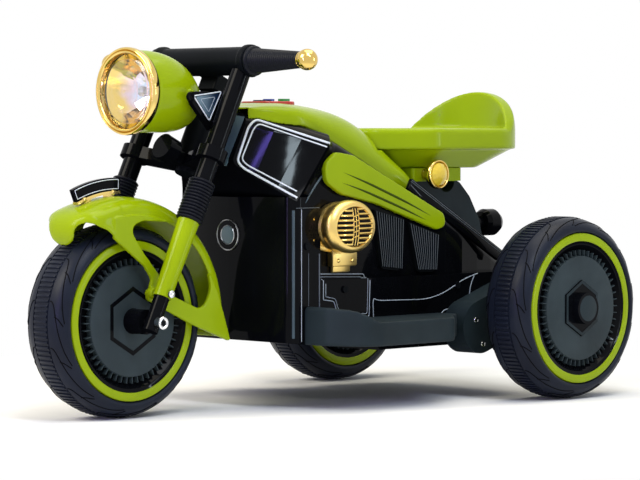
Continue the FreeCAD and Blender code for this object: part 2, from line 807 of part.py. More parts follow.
def lamp_solid(inset, front):
    """Bucket form: circles that shrink and sink towards the back, so the underside stays full."""
    depth, radius = size("bucket_depth"), size("bucket_radius")
    axis = size("lamp_height")
    rings = (
        (0.0, 1.0, 0.0),
        (0.25, 0.995, 0.01),
        (0.5, 0.945, 0.055),
        (0.72, 0.82, 0.13),
        (0.88, 0.62, 0.19),
        (0.97, 0.42, 0.235),
        (1.0, 0.25, 0.25),
    )
    blunt_end = 0.95
    wires = []
    for share, part, drop in rings:
        centre = Vector(0, front + share * (depth - inset), axis - drop * radius)
        wall = inset if share < blunt_end else inset * part
        wires.append(Part.Wire(Part.makeCircle(part * radius - wall, centre, Vector(0, 1, 0))))
    return Part.makeLoft(wires, True, False)


def make_headlight():
    axis = size("lamp_height")
    front = size("lamp_front")
    bucket_front = front + size("bezel_depth")
    wall = size("bucket_wall")
    outer = lamp_solid(0, bucket_front)
    inner = lamp_solid(wall, bucket_front)
    ear_y, ear_z = ear_pivot()
    boss = bar_across(size("ear_boss"), -size("ear_in"), size("ear_in"), ear_y, ear_z)
    bucket = outer.fuse(boss).cut(inner)
    feature("headlight_bucket", bucket)

    at = ("0", "lamp_front", "lamp_height")
    lens_back = "bezel_depth - lens_depth - 3"
    bezel_outline = (
        ("bezel_inner", "0"),
        ("bezel_radius - 3", "0"),
        ("bezel_radius", "4"),
        ("bezel_radius", "bezel_depth - 3"),
        ("bucket_radius", "bezel_depth"),
        ("bucket_radius - bucket_wall", "bezel_depth"),
        ("bucket_radius - bucket_wall", "bezel_depth - 3"),
        ("bezel_inner", "bezel_depth - 3"),
    )
    node(turned("headlight_bezel", bezel_outline, at, REARWARD), "headlight_bezel")
    lens_outline = (
        ("0", "1"),
        ("bezel_inner*0.5", "1.8"),
        ("bezel_inner*0.85", "4"),
        ("bezel_inner - play", lens_back),
        ("bezel_inner - play", "bezel_depth - 3"),
        ("bezel_inner*0.85", "4 + lens_depth"),
        ("bezel_inner*0.5", "1.8 + lens_depth"),
        ("0", "1 + lens_depth"),
    )
    node(turned("headlight_lens", lens_outline, at, REARWARD), "headlight_lens")
    rim = "bucket_radius - bucket_wall - play"
    reflector_outline = (
        ("0", "bezel_depth + 34"),
        ("12", "bezel_depth + 33"),
        ("26", "bezel_depth + 22"),
        ("36", "bezel_depth + 8"),
        (f"{rim} - 2", "bezel_depth"),
        (rim, "bezel_depth"),
        (rim, "bezel_depth + 3"),
        ("39", "bezel_depth + 9"),
        ("29", "bezel_depth + 24"),
        ("14", "bezel_depth + 36"),
        ("0", "bezel_depth + 37"),
    )
    node(turned("headlight_reflector", reflector_outline, at, REARWARD), "headlight_reflector")
    feature("headlight_ears", pair(lamp_ear()))


def ear_pivot():
    """Pivot screw of the lamp ears, in side view."""
    return size("lamp_front + bezel_depth + bucket_depth*ear_share"), size("lamp_height - 5")


def lamp_ear():
    """Triangular plate from the lamp's pivot to the inner side of the left fork tube."""
    ear_y, ear_z = ear_pivot()
    high = steered_point("0", "-fork_offset", "tube_top - 25")
    low = steered_point("0", "-fork_offset", "tube_top - 76")
    corners = [(ear_y - 9, ear_z + 5, 6), (high.y, high.z, 3), (low.y, low.z, 3), (ear_y - 5, ear_z - 9, 6)]
    start = size("ear_in")
    return side_slab(corners, start, start + size("ear_depth"))


# front mudguard and plate


def turn_about_axle(shape_face, first, last):
    """Sweeps a face that stands above the front axle from one angle to another, in degrees from rearward."""
    centre = Vector(0, size("-wheelbase/2"), size("tyre_radius"))
    start = shape_face.copy()
    start.rotate(centre, Vector(1, 0, 0), first - 90)
    return start.revolve(centre, Vector(1, 0, 0), last - first)


def above_axle(x, radius):
    return Vector(x, size("-wheelbase/2"), size("tyre_radius") + radius)


def guard_section():
    """Section above the axle: a nearly flat crown, full shoulders and upright side edges."""
    half, wall = size("guard_half"), size("guard_wall")
    crown, rim = size("(tyre_radius + guard_rise)"), size("(tyre_radius + guard_lap)")
    shares = ((1, 0), (0.965, 0.42), (0.79, 0.76), (0.43, 0.955), (0, 1))

    def arch(half_width, top):
        side = [(half_width * across, rim + (top - rim) * up) for across, up in shares]
        curve = Part.BSplineCurve()
        left = [above_axle(-x, radius) for x, radius in side]
        curve.interpolate(left + [above_axle(x, radius) for x, radius in reversed(side[:-1])])
        return curve

    inner_half = half - wall
    right_edge = Part.LineSegment(above_axle(half, rim), above_axle(inner_half, rim))
    left_edge = Part.LineSegment(above_axle(-inner_half, rim), above_axle(-half, rim))
    edges = (arch(half, crown), right_edge, arch(inner_half, crown - wall), left_edge)
    return Part.Face(Part.Wire(Part.sortEdges([edge.toShape() for edge in edges])[0]))


def guard_rim(angle, lift):
    """A side view place given from the side edge of the mudguard, in degrees from rearward."""
    reach = size("(tyre_radius + guard_lap)") + lift
    turn = math.radians(angle)
    return size("-wheelbase/2") + reach * math.cos(turn), size("tyre_radius") + reach * math.sin(turn)


def stay_outlines(screw):
    """Side views of the front stay and of the tail with its rear stay; both meet the screw on the leg."""
    front = [
        (*guard_rim(119, 8), 2),
        (*guard_rim(106, 5), 0),
        (*guard_rim(93, 2), 0),
        (*guard_rim(81, 1), 0),
        (*guard_rim(68, 1), 0),
        (*guard_rim(88, -5), 20),
        (*guard_rim(99, -11), 9),
        (*guard_rim(85.5, -42), 30),
        (screw.y + 14, screw.z + 19, 6),
        (screw.y + 7, screw.z - 4, 4),
        (screw.y - 4, screw.z - 4, 4),
        (screw.y + 2, screw.z + 16, 8),
        (*guard_rim(84, -56), 10),
    ]
    rear = [
        (screw.y - 7, screw.z + 4, 4),
        (screw.y + 10, screw.z + 5, 6),
        (*guard_rim(5, -22), 14),
        (*guard_rim(17, -4.5), 20),
        (*guard_rim(34, 1), 2),
        (*guard_rim(12, 5), 12),
        (*guard_rim(-12, 24), 2),
        (screw.y + 62, screw.z - 38, 20),
        (screw.y - 4, screw.z - 8, 4),
    ]
    return front, rear


def front_scallop():
    """Cuts the side edges away ahead of the front stays, which leaves the tongue."""
    corners = [
        (*guard_rim(117.5, -8), 1),
        (*guard_rim(118.5, 13.5), 8),
        (*guard_rim(126, 17.5), 8),
        (*guard_rim(140, 17.5), 1),
        (*guard_rim(140, -20), 1),
    ]
    half = size("guard_half*2")
    return side_slab(corners, -half, half)


def front_bill():
    """The rounded end of the tongue, which curls down ahead of the tread."""
    corners = [
        (*guard_rim(117, 21.5), 0),
        (*guard_rim(124, 20.5), 9),
        (*guard_rim(127.6, 13.5), 8),
        (*guard_rim(129.8, 3), 8),
        (*guard_rim(130.2, -3.5), 1),
        (*guard_rim(128.6, -3), 1),
        (*guard_rim(128.2, 3), 6),
        (*guard_rim(126, 12.5), 6),
        (*guard_rim(123, 17.8), 7),
        (*guard_rim(117, 18.8), 0),
    ]
    half, low, high = size("bill_half"), size("bill_low"), size("bill_high")
    middle = Vector(0, size("-wheelbase/2 - tyre_radius*2"), high)
    ellipse = Part.Ellipse(middle + Vector(0, 0, high - low), middle + Vector(half, 0, 0), middle)
    ahead = Part.Face(Part.Wire([ellipse.toShape()])).extrude(Vector(0, size("tyre_radius*2"), 0))
    return side_slab(corners, -half, half).common(ahead)


def front_trim():
    """Cuts the front end to a rounded tongue, seen from ahead."""
    half, low, high = size("guard_half"), size("tongue_low"), size("tongue_high")
    ahead = size("-wheelbase/2 - tyre_radius*2")
    left, right = Vector(half, ahead, high), Vector(-half, ahead, high)
    curve = Part.Arc(left, Vector(0, ahead, low), right)
    floor = [Vector(-half * 2, ahead, high), Vector(-half * 2, ahead, 0), Vector(half * 2, ahead, 0),
             Vector(half * 2, ahead, high)]
    spots = [right] + floor + [left]
    edges = [curve.toShape()] + [Part.LineSegment(*ends).toShape() for ends in zip(spots, spots[1:])]
    reach = size("tyre_radius*2 - tongue_back")
    return Part.Face(Part.Wire(edges)).extrude(Vector(0, reach, 0))


def make_mudguard():
    guard = turn_about_axle(guard_section(), size("guard_rear"), size("guard_front"))
    start = size("stay_in")
    end = start + size("stay_depth")
    screw = steered_point("0", "-fork_offset", "stay_up")
    leg_face = size("fork_half - leg_radius - play")
    guard = guard.cut(front_scallop())
    for corners in stay_outlines(screw):
        stay = side_slab(corners, start, end)
        guard = guard.fuse([stay, mirror_x(stay)])
    boss = bar_across(size("stay_boss"), end - 1, leg_face, screw.y, screw.z)
    guard = guard.fuse([boss, mirror_x(boss)])
    hole = bar_across(size("screw_radius + play"), -leg_face - 1, leg_face + 1, screw.y, screw.z)
    feature("front_fender", guard.cut([hole, front_trim()]).fuse(front_bill()).removeSplitter())
    spot = steered("stay_in", "-fork_offset", "stay_up")
    shank_length = "fork_half + leg_radius - stay_in"
    shank = cylinder("fender_screw_shank", "screw_radius", shank_length, spot, ACROSS)
    head_at = ("fork_half + leg_radius", spot[1], spot[2])
    head = cylinder("fender_screw_head", "screw_head", "screw_head_depth", head_at, ACROSS)
    node(both_sides("fender_screws", fuse("fender_screw", shank, head)), "fender_screws")


def upright_sector(half, low, high, first, last):
    corners = [above_axle(-half, low), above_axle(half, low), above_axle(half, high), above_axle(-half, high)]
    face = Part.Face(Part.makePolygon(corners + corners[:1]))
    return turn_about_axle(face, first, last)


def make_plate():
    half = size("plate_depth") / 2
    front, rear = size("plate_front"), size("plate_rear")
    tread = size("tyre_radius")
    plate_low = tread + size("plate_rise")
    plate = upright_sector(half, plate_low, plate_low + size("plate_height"), rear, front)
    feature("number_plate", plate)
    rail_half = size("rail_depth") / 2
    rail_low = tread + size("rail_rise")
    rail = upright_sector(rail_half, rail_low, plate_low, rear, front)
    clip_inset, clip_half = 6, 2
    for angle in (front - clip_inset, rear + clip_inset):
        first, last = angle - clip_half, angle + clip_half
        clip = upright_sector(rail_half, tread + size("guard_rise"), rail_low, first, last)
        rail = rail.fuse(clip)
    guard_outer = turn_about_axle(guard_section(), size("guard_rear"), size("guard_front"))
    feature("plate_rail", rail.removeSplitter().cut(guard_outer))


# body shells


def tub_side():
    front, rear = size("tub_front - tub_bow"), size("body_rear")
    floor, top, lip = size("tub_floor"), size("tub_top"), size("tub_lip")
    column, column_top = size("column_rear"), size("column_top")
    return [
        (front, lip, 6),
        (front, column_top, 8),
        (column, column_top, 4),
        (column, top, 4),
        (rear, top, 10),
        (rear, floor, 10),
        (size("tub_rise"), floor, 0),
    ]


def tub_plan():
    half, front, rear = size("tub_half"), size("tub_front"), size("body_rear")
    bow, bow_round = size("tub_bow"), size("tub_bow_round")
    corners = [(-half, front, 16), (0, front - bow, bow_round), (half, front, 16)]
    return corners + [(half, rear, 22), (-half, rear, 22)]


def nose_points():
    """Lower and upper front corners of the tank, on the face behind the steering axis."""
    spots = []
    for height in (size("nose_low"), size("nose_high")):
        base = steered_point("0", "head_back", "0")
        rise = (height - base.z) / math.cos(math.radians(size("rake")))
        spots.append((base.y + rise * math.sin(math.radians(size("rake"))), height))
    return spots


def tank_side():
    """Side view that trims the lofted tank: its leaning front face, its underside and its rear end."""
    (low_y, low_z), (high_y, high_z) = nose_points()
    rear, sky = size("body_rear"), size("cover_crown")
    lean = (high_y - low_y) / (high_z - low_z)
    meet = size("tub_front") + 16
    slope = (size("column_top") - low_z) / (size("tub_front") - low_y)
    return [
        (low_y, low_z, 8),
        (low_y + lean * (sky - low_z), sky, 0),
        (rear, sky, 0),
        (rear, size("tub_top") - 20, 0),
        (meet, size("tub_top") - 20, 0),
        (meet, low_z + slope * (meet - low_y), 0),
    ]


def tank_top_height(y):
    """Height of the tank's upper edge line, with a soft bend at its shoulder."""
    high_y, high_z = nose_points()[1]
    bend_y, bend_z = size("shoulder_back"), size("shoulder_high")
    front_slope = (bend_z - high_z) / (bend_y - high_y)
    rear_slope = (size("rail_end_high") - bend_z) / (size("body_rear") - bend_y)
    reach = size("shoulder_reach")
    away = y - bend_y
    if away <= -reach:
        return bend_z + front_slope * away
    if away >= reach:
        return bend_z + rear_slope * away
    bend = (rear_slope - front_slope) / (4 * reach)
    return bend_z + front_slope * away + bend * (away + reach) ** 2


def tank_section(base, lean, half, inset):
    """A cross section in a plane that passes the ridge foot's height at a base and leans to the rear."""
    foot = size("ridge_low_z")
    top = size("shoulder_high")
    for turn in range(20):
        top = tank_top_height(base + lean * (top - foot))
    top -= inset
    low = size("tub_top") - 20 - inset
    wide, rounding = half - inset, size("tank_round") - inset
    corners = [(wide, low, 0), (wide, top, rounding), (-wide, top, rounding), (-wide, low, 0)]
    return outline(corners, lambda x, z: Vector(x, base + lean * (z - foot), z))


def tank_stations():
    """Base, lean and half width of each section: nose, wedge to the ridge, short fall and slow taper."""
    nose, half, tail = size("nose_half"), size("tub_half - tank_step"), size("tail_half")
    ridge, fade, ridge_y = size("ridge_half"), size("ridge_fade"), size("ridge_low_y")
    (low_y, low_z), (high_y, high_z) = nose_points()
    nose_lean, ridge_lean = (high_y - low_y) / (high_z - low_z), size("ridge_lean")
    nose_y = low_y + (size("ridge_low_z") - low_z) * nose_lean
    rear, bend, taper = size("body_rear"), size("shoulder_back"), size("taper_start")
    stations = [(nose_y - 12, nose_lean, nose)]
    for share in (0, 0.33, 0.67, 1):
        base, lean = nose_y + share * (ridge_y - nose_y), nose_lean + share * (ridge_lean - nose_lean)
        stations.append((base, lean, nose + share * (ridge - nose)))
    for share in (0.2, 0.45, 0.7, 1):
        stations.append((ridge_y + share * fade, ridge_lean, half + (ridge - half) * (1 - share) ** 2))
    behind = bend + 80
    for share in (0, 0.5, 1):
        stations.append((behind + share * (taper - behind), 0, half))
    for share in (0.25, 0.5, 0.75, 1):
        stations.append((taper + share * (rear - taper), 0, half - (half - tail) * share ** 1.5))
    return stations


def tank_volume(inset):
    wires = [tank_section(base, lean, half, inset) for base, lean, half in tank_stations()]
    half = size("tub_half") + 4
    return Part.makeLoft(wires, True, True).common(side_slab(tank_side(), -half, half, inset))


def tub_volume(inset):
    plan = plan_slab(tub_plan(), 0, size("cover_crown"), inset)
    side = side_slab(tub_side(), -size("tub_half"), size("tub_half"), inset)
    return plan.common(side)


def screw_spots():
    """Side view places of the screws that join the shells."""
    rear, top, front = size("body_rear"), size("tub_top"), size("tub_front")
    return [(front + 22, top + 40), (size("column_rear") + 40, top - 12), (rear - 121, top - 14)]


def gear_centres():
    """Side view places of pinion, idler and output gear, which lie on one line down from the rear axle."""
    pitch = size("gear_module") / 2
    pinion, idler, output = (size(name) * pitch for name in ("pinion_teeth", "idler_teeth", "output_teeth"))
    slope = math.radians(size("train_slope"))
    axle_y, axle_z = size("wheelbase/2"), size("tyre_radius")
    spots = []
    for reach in (output + 2 * idler + pinion, output + idler, 0):
        spots.append((axle_y - reach * math.cos(slope), axle_z - reach * math.sin(slope)))
    return spots


def make_shells():
    outer = tub_volume(0).fuse(tank_volume(0)).removeSplitter()
    wall = size("wall")
    inner = tub_volume(wall).fuse(tank_volume(wall))
    shell = outer.cut(inner)
    wide = size("(tub_half + board_width)")
    axle = bar_across(size("rear_axle_radius + play"), -wide, wide, size("wheelbase/2"), size("tyre_radius"))
    shaft_y, shaft_z = gear_centres()[0]
    shaft = bar_across(size("shaft_radius") + 2, 0, wide, shaft_y, shaft_z)
    socket = bar_across(size("socket_radius + play"), -wide, 0, size("socket_y"), size("socket_z"))
    tools = [axle, shaft, socket]
    for y, z in screw_spots():
        tools.append(bar_across(size("screw_radius + play"), -wide, wide, y, z))
    shell = shell.cut(tools)
    long, tall = size("wheelbase"), size("seat_lip")
    half = Part.makeBox(wide, long * 2, tall, Vector(0, -long, 0))
    feature("body_shell_left", shell.common(half))
    feature("body_shell_right", shell.common(mirror_x(half)))
    return outer


def make_screws():
    side, depth = size("tub_half"), size("screw_head_depth")
    made = []
    for y, z in screw_spots():
        head = bar_across(size("screw_head"), side, side + depth, y, z)
        shank = bar_across(size("screw_radius"), side - 12, side, y, z)
        screw = head.fuse(shank)
        made += [screw, mirror_x(screw)]
    feature("shell_screws", Part.makeCompound(made))


# tank cover, panel and controls


def cover_sections(inset):
    """Cross sections of the cover from front to rear: place, half width and crown height."""
    crown = size("cover_crown")
    front, rear = size("cover_front"), size("cover_rear")
    stations = (
        (0.0, 45, crown - 6),
        (0.1, 57, crown - 2),
        (0.22, 69, crown),
        (0.4, 71, crown - 3),
        (0.58, 71, crown - 11),
        (0.73, 69, crown - 27),
        (0.86, 69, crown - 52),
        (1.0, 67, crown - 79),
    )
    wires = []
    for share, half, high in stations:
        y = front + share * (rear - front)
        base = tank_top_height(y) - 14
        wires.append(arch_wire(y, half - inset, base - inset, base + 20, high - inset))
    return wires


def arch_wire(y, half, low, spring, crown):
    """A flat-bottomed arch across the bike with upright feet."""
    steps = 8
    spots = []
    for step in range(steps + 1):
        turn = math.pi * step / steps
        across = math.copysign(abs(math.cos(turn)) ** 0.75, math.cos(turn))
        spots.append(Vector(half * across, y, spring + (crown - spring) * math.sin(turn) ** 0.75))
    arch = Part.BSplineCurve()
    arch.interpolate(spots)
    left, right = Vector(half, y, low), Vector(-half, y, low)
    rise, fall = Part.LineSegment(left, spots[0]), Part.LineSegment(spots[-1], right)
    floor = Part.LineSegment(right, left)
    return Part.Wire([edge.toShape() for edge in (rise, arch, fall, floor)])


def make_tank_cover(body):
    outer = Part.makeLoft(cover_sections(0), True, False)
    inner = Part.makeLoft(cover_sections(size("cover_wall")), True, False)
    cover = outer.cut(inner).cut(body)
    play = size("play")
    half, front, rear = size("panel_half") + play, size("panel_front") - play, size("panel_rear") + play
    low = size("panel_top - panel_depth")
    window = Part.makeBox(half * 2, rear - front, 40, Vector(-half, front, low))
    seat_start, seat_gap, ample = size("seat_front") - 1, 0.3, 400
    room_at = Vector(-ample / 2, seat_start, size("seat_low") - seat_gap)
    seat_room = Part.makeBox(ample, ample, ample, room_at)
    leg_in = size("leg_in")
    gap = Part.makeBox(leg_in * 2, ample, ample, Vector(-leg_in, seat_start, size("tub_top")))
    cover = cover.cut([window, seat_room, gap])
    solid = max(cover.Solids, key=lambda item: item.Volume)
    feature("tank_cover", solid)


def control_spots():
    """Plan view places of the rocker, the power button and the sound button."""
    middle = (size("panel_front") + size("panel_rear")) / 2
    aside = size("panel_half") / 2
    return (0, middle - 9), (aside, middle + 14), (-aside, middle + 14)


def make_panel():
    half, front, rear = size("panel_half"), size("panel_front"), size("panel_rear")
    top, depth, well_play = size("panel_top"), size("panel_depth"), 0.3
    corner, edge_round = 16, 1.5
    corners = [(-half, front, corner), (half, front, corner), (half, rear, corner), (-half, rear, corner)]
    panel = plan_slab(corners, top - depth, top)
    panel = panel.makeFillet(edge_round, [edge for edge in panel.Edges if edge.BoundBox.ZMin > top - 0.1])
    (rocker_x, rocker_y), *buttons = control_spots()
    wide, long = size("rocker_width") / 2 + well_play, size("rocker_length") / 2 + well_play
    pin, tilt_room = size("rocker_pin"), 2.0
    well = Part.makeBox(wide * 2, long * 2, depth, Vector(rocker_x - wide, rocker_y - long, top - depth))
    pin_radius, pin_half = pin + size("run_play"), wide + 4
    pin_hole = bar_across(pin_radius, rocker_x - pin_half, rocker_x + pin_half, rocker_y, top - depth / 2)
    panel = panel.cut([well, pin_hole])
    for x, y in buttons:
        hole_radius = size("button_radius") + size("run_play")
        panel = panel.cut(Part.makeCylinder(hole_radius, depth, Vector(x, y, top - depth)))
    feature("control_panel", panel)
    button, flange = size("button_radius"), 2
    for label, (x, y) in zip(("power_button", "sound_button"), buttons):
        foot = Vector(x, y, top - depth - flange)
        stem = Part.makeCylinder(button, depth + flange + size("button_proud"), foot)
        feature(label, stem.fuse(Part.makeCylinder(button + flange, flange, foot)).removeSplitter())
    tilt = math.radians(size("rocker_tilt"))
    reach = size("rocker_length") / 2 - tilt_room / 2
    centre_z = top - depth / 2
    drop = reach * math.tan(tilt)
    profile = [
        (rocker_y - reach, centre_z + 5 + drop, 0.8),
        (rocker_y, centre_z + 6, 20),
        (rocker_y + reach, centre_z + 5 + drop, 0.8),
        (rocker_y + reach * 0.75, centre_z - 3, 0.8),
        (rocker_y - reach * 0.75, centre_z - 3, 0.8),
    ]
    half_width = size("rocker_width") / 2
    rocker = side_slab(profile, rocker_x - half_width, rocker_x + half_width)
    pivot = bar_across(pin, rocker_x - half_width - 3.5, rocker_x + half_width + 3.5, rocker_y, centre_z)
    feature("direction_rocker", rocker.fuse(pivot).removeSplitter())


# seat and tail


def seat_outline(narrow=0, ahead=0):
    """Plan of the seat; the back lip's upper outlines are narrower and end further ahead."""
    half, front, rear = size("seat_half") - narrow, size("seat_front"), size("seat_rear") - ahead
    nose, flare = size("seat_nose"), size("seat_flare")
    near, far = size("seat_front_round"), size("seat_round") - narrow
    left = [(nose, front, near), (half, flare, near * 3), (half, rear, far)]
    return left + [(-x, y, rounding) for x, y, rounding in reversed(left)]


def make_seat():
    low, top, lip = size("seat_low"), size("seat_top"), size("seat_lip")
    base = plan_slab(seat_outline(), low, top)
    base = base.makeFillet(6, [edge for edge in base.Edges if edge.BoundBox.ZMin > top - 0.1])
    half = size("seat_half") - 2
    spring = top - 7
    rise = lip - spring
    arch_radius = (half * half + rise * rise) / (2 * rise)
    rear = size("seat_rear")
    arch_start = Vector(0, rear - 140, lip - arch_radius)
    arch = rod(arch_radius, arch_start, Vector(0, rear + 1, lip - arch_radius))
    wires = []
    for share, narrow, ahead in ((0.0, 0, 0), (0.45, 3, 2), (0.75, 11, 7), (1.02, 25, 17)):
        wires.append(outline(seat_outline(narrow, ahead), plan_view(spring + share * rise)))
    back = Part.makeLoft(wires, True, False).common(arch)
    scoop, lean, lip_foot = size("seat_scoop"), 5, 31
    hollow = Part.makeCone(scoop, scoop + lean, rise + 2, Vector(0, rear - lip_foot - scoop, spring))
    back = back.cut(hollow)
    pan = seat_pan(low)
    feature("seat", base.fuse([back, pan]).removeSplitter())


def seat_pan(low):
    """Tapered underside of the seat."""
    pan_low = size("seat_pan_low")
    half, front, rear = size("seat_half"), size("seat_front"), size("seat_rear")
    nose, flare, deep = size("seat_nose"), size("seat_flare"), size("bracket_half")
    bracket_front = size("bracket_front")
    upper_left = [(nose - 4, front + 34, 16), (half - 6, flare + 6, 40), (half - 6, rear - 10, 66)]
    lower_left = [(nose - 4, bracket_front - 6, 10), (deep, flare + 6, 20), (deep, rear - 80, 24)]
    wires = []
    for left, height in ((lower_left, pan_low), (upper_left, low)):
        right = [(-x, y, rounding) for x, y, rounding in reversed(left)]
        wires.append(outline(left + right, plan_view(height)))
    return Part.makeLoft(wires, True, True)


def make_seat_bracket():
    half, front, rear = size("bracket_half"), size("bracket_front"), size("bracket_rear")
    low, top = size("bracket_low"), size("seat_pan_low")
    corners = [(-half, front, 4), (half, front, 4), (half, rear, 4), (-half, rear, 4)]
    feature("seat_bracket", plan_slab(corners, low, top))


def make_tail(body):
    half = size("tail_bracket_half")
    front, rear = size("bracket_front"), size("body_rear")
    low = size("bracket_low")
    corners = [
        (front, tank_top_height(front) - 8, 0),
        (front, low, 0),
        (size("bracket_rear") + 12, low, 16),
        (rear - 40, low - 20, 22),
        (rear - 22, size("tail_lamp_high") + 6, 26),
        (rear - 14, size("tail_lamp_high") - 26, 12),
        (rear - 1, tank_top_height(rear) - 8, 0),
    ]
    bracket = side_slab(corners, -half, half).cut(body)
    notch = bar_across(size("notch_radius"), -half - 1, half + 1, size("bracket_rear") - 10, low + 1)
    lamp_z = size("tail_lamp_high")
    neck = size("tail_neck_radius")
    neck_hole = rod(neck + size("play"), Vector(0, rear - 40, lamp_z), Vector(0, rear + 40, lamp_z))
    feature("tail_bracket", bracket.cut([notch, neck_hole]))
    at = ("0", "body_rear - 40", "tail_lamp_high")
    end = "tail_lamp_end - body_rear + 40"
    lamp_outline = (
        ("0", "0"),
        ("tail_neck_radius", "0"),
        ("tail_neck_radius", f"{end} - 34"),
        ("tail_lamp_radius - 3", f"{end} - 32"),
        ("tail_lamp_radius", f"{end} - 26"),
        ("tail_lamp_radius", f"{end} - 10"),
        ("tail_lamp_radius - 4", f"{end} - 3"),
        ("tail_lamp_radius - 10", end),
        ("0", end),
    )
    node(turned("tail_lamp", lamp_outline, at, REARWARD), "tail_lamp")


# side furniture


def beside_tank(corners):
    """Side view corners given from the bend of the tank's upper edge."""
    bend, high = size("shoulder_back"), size("shoulder_high")
    return [(bend + back, high - down, rounding) for back, down, rounding in corners]


def make_trims(body):
    side = size("tub_half - tank_step")
    corners = [
        (3, 43.4, 14),
        (23, 30.4, 12),
        (51, 34.4, 20),
        (207, 105.4, 8),
        (213, 121.4, 8),
        (195, 125.4, 8),
        (91, 92.4, 60),
        (31, 80.4, 20),
        (5, 65.4, 14),
    ]
    trim = side_slab(beside_tank(corners), side - 2, side + size("trim_depth")).cut(body)
    feature("side_trims", pair(trim))


def make_pads(body):
    side = size("tub_half - tank_step")
    pads = []
    for corners in (
        [(89, 98.4, 2), (139, 110.4, 2), (136, 173.4, 8), (100, 169.4, 8)],
        [(148, 114.4, 2), (201, 130.4, 2), (197, 176.4, 8), (163, 175.4, 8)],
    ):
        pad = side_slab(beside_tank(corners), side - 2, side + size("pad_depth")).cut(body)
        pads += [pad, mirror_x(pad)]
    feature("ribbed_pads", Part.makeCompound(pads))


def make_horns():
    y, z = size("horn_y"), size("horn_z")
    long, tall, depth = size("horn_long"), size("horn_tall"), size("horn_depth")
    base = size("(tub_half - tank_step) + play")
    rings = ((0.0, 0.78), (0.3, 0.95), (0.62, 1.0), (0.86, 0.97), (0.97, 0.85))
    wires = []
    for share, scale in rings:
        centre = Vector(base + share * depth, y, z)
        fore, high = Vector(0, long * scale, 0), Vector(0, 0, tall * scale)
        wires.append(Part.Wire(Part.Ellipse(centre + fore, centre + high, centre).toShape()))
    horn = Part.makeLoft(wires, True, True)
    low = z - tall
    foot = [(y - 14, low - 20, 5), (y + 16, low - 20, 5), (y + 16, low + 8, 0), (y - 14, low + 8, 0)]
    tab = [(y - 9, low - 27, 3), (y + 11, low - 27, 3), (y + 11, low - 10, 0), (y - 9, low - 10, 0)]
    stand = [side_slab(foot, base, base + 10), side_slab(tab, base, base + 5)]
    feature("horns", pair(horn.fuse(stand).removeSplitter()))


def make_turn_lights():
    at = ("bracket_half", "turn_light_y", "turn_light_z")
    ring_outline = (
        ("0", "0"),
        ("7", "0"),
        ("7", "8"),
        ("turn_light_radius - 3", "14"),
        ("turn_light_radius", "turn_light_depth - 7"),
        ("turn_light_radius", "turn_light_depth - 2"),
        ("turn_light_lens", "turn_light_depth"),
        ("turn_light_lens", "turn_light_depth - 4"),
        ("0", "turn_light_depth - 4"),
    )
    ring = turned("turn_light_ring", ring_outline, at, ACROSS)
    node(both_sides("turn_light_rings", ring), "turn_light_rings")
    lens_outline = (
        ("0", "turn_light_depth - 4"),
        ("turn_light_lens - play", "turn_light_depth - 4"),
        ("turn_light_lens - play", "turn_light_depth"),
        ("turn_light_lens*0.6", "turn_light_depth + 3"),
        ("0", "turn_light_depth + 4"),
    )
    lens = turned("turn_light_lens_body", lens_outline, at, ACROSS)
    node(both_sides("turn_light_lenses", lens), "turn_light_lenses")


def footboard():
    inner, outer = size("tub_half"), size("(tub_half + board_width)")
    low, top, lip = size("board_low"), size("board_top"), size("board_lip")
    front, rear = size("tub_front") + 16, size("board_rear")
    corners = [
        (inner, front, 0),
        (inner + 34, front + 4, 20),
        (outer - 6, front + 26, 18),
        (outer, front + 50, 20),
        (outer, rear - 62, 18),
        (outer - 42, rear - 20, 20),
        (inner + 30, rear, 6),
        (inner, rear, 0),
    ]
    board = plan_slab(corners, low, top)
    ramp = [(front, top - 1, 0), (front, lip, 6), (front + 20, lip - 4, 14), (front + 46, top - 1, 0)]
    raised = side_slab(ramp, inner, outer).common(plan_slab(corners, low, lip))
    return board.fuse(raised).removeSplitter()


def make_footboards():
    left = footboard()
    feature("footboard_left", left)
    start = size("(tub_half + pedal_gap)")
    wide = size("pedal_width")
    lug = size("lug_depth")
    hinge_y, hinge_z = size("pedal_hinge_y"), size("pedal_hinge_z")
    top, pin, play = size("board_top"), size("pedal_pin"), size("run_play")
    foot, crest = 8, 5
    ear = [
        (hinge_y - foot, top, 0),
        (hinge_y + foot, top, 0),
        (hinge_y + crest, hinge_z + crest, crest),
        (hinge_y - crest, hinge_z + crest, crest),
    ]
    board = left
    for low_x in (start - lug - 0.4, start + wide + 0.4):
        board = board.fuse(side_slab(ear, low_x, low_x + lug))
    pin_hole = bar_across(pin + play, start - lug - 3, start + wide + lug + 3, hinge_y, hinge_z)
    feature("footboard_right", mirror_x(board.removeSplitter().cut(pin_hole)))
    make_pedal(start, wide, lug, hinge_y, hinge_z, pin)


def make_pedal(start, wide, lug, hinge_y, hinge_z, pin):
    length, deep = size("pedal_length"), size("pedal_depth")
    corners = [
        (hinge_y + 4, hinge_z - deep / 2, 2),
        (hinge_y + 4, hinge_z + deep / 2, 2),
        (hinge_y - length, hinge_z + deep / 2, 2),
        (hinge_y - length, hinge_z - deep / 2, 2),
    ]
    plate = side_slab(corners, start, start + wide)
    pivot = bar_across(pin, start - lug, start + wide + lug, hinge_y, hinge_z)
    pedal = plate.fuse(pivot).removeSplitter()
    pedal.rotate(Vector(0, hinge_y, hinge_z), Vector(1, 0, 0), -size("pedal_angle"))
    feature("foot_pedal", mirror_x(pedal))


# drive, battery and socket


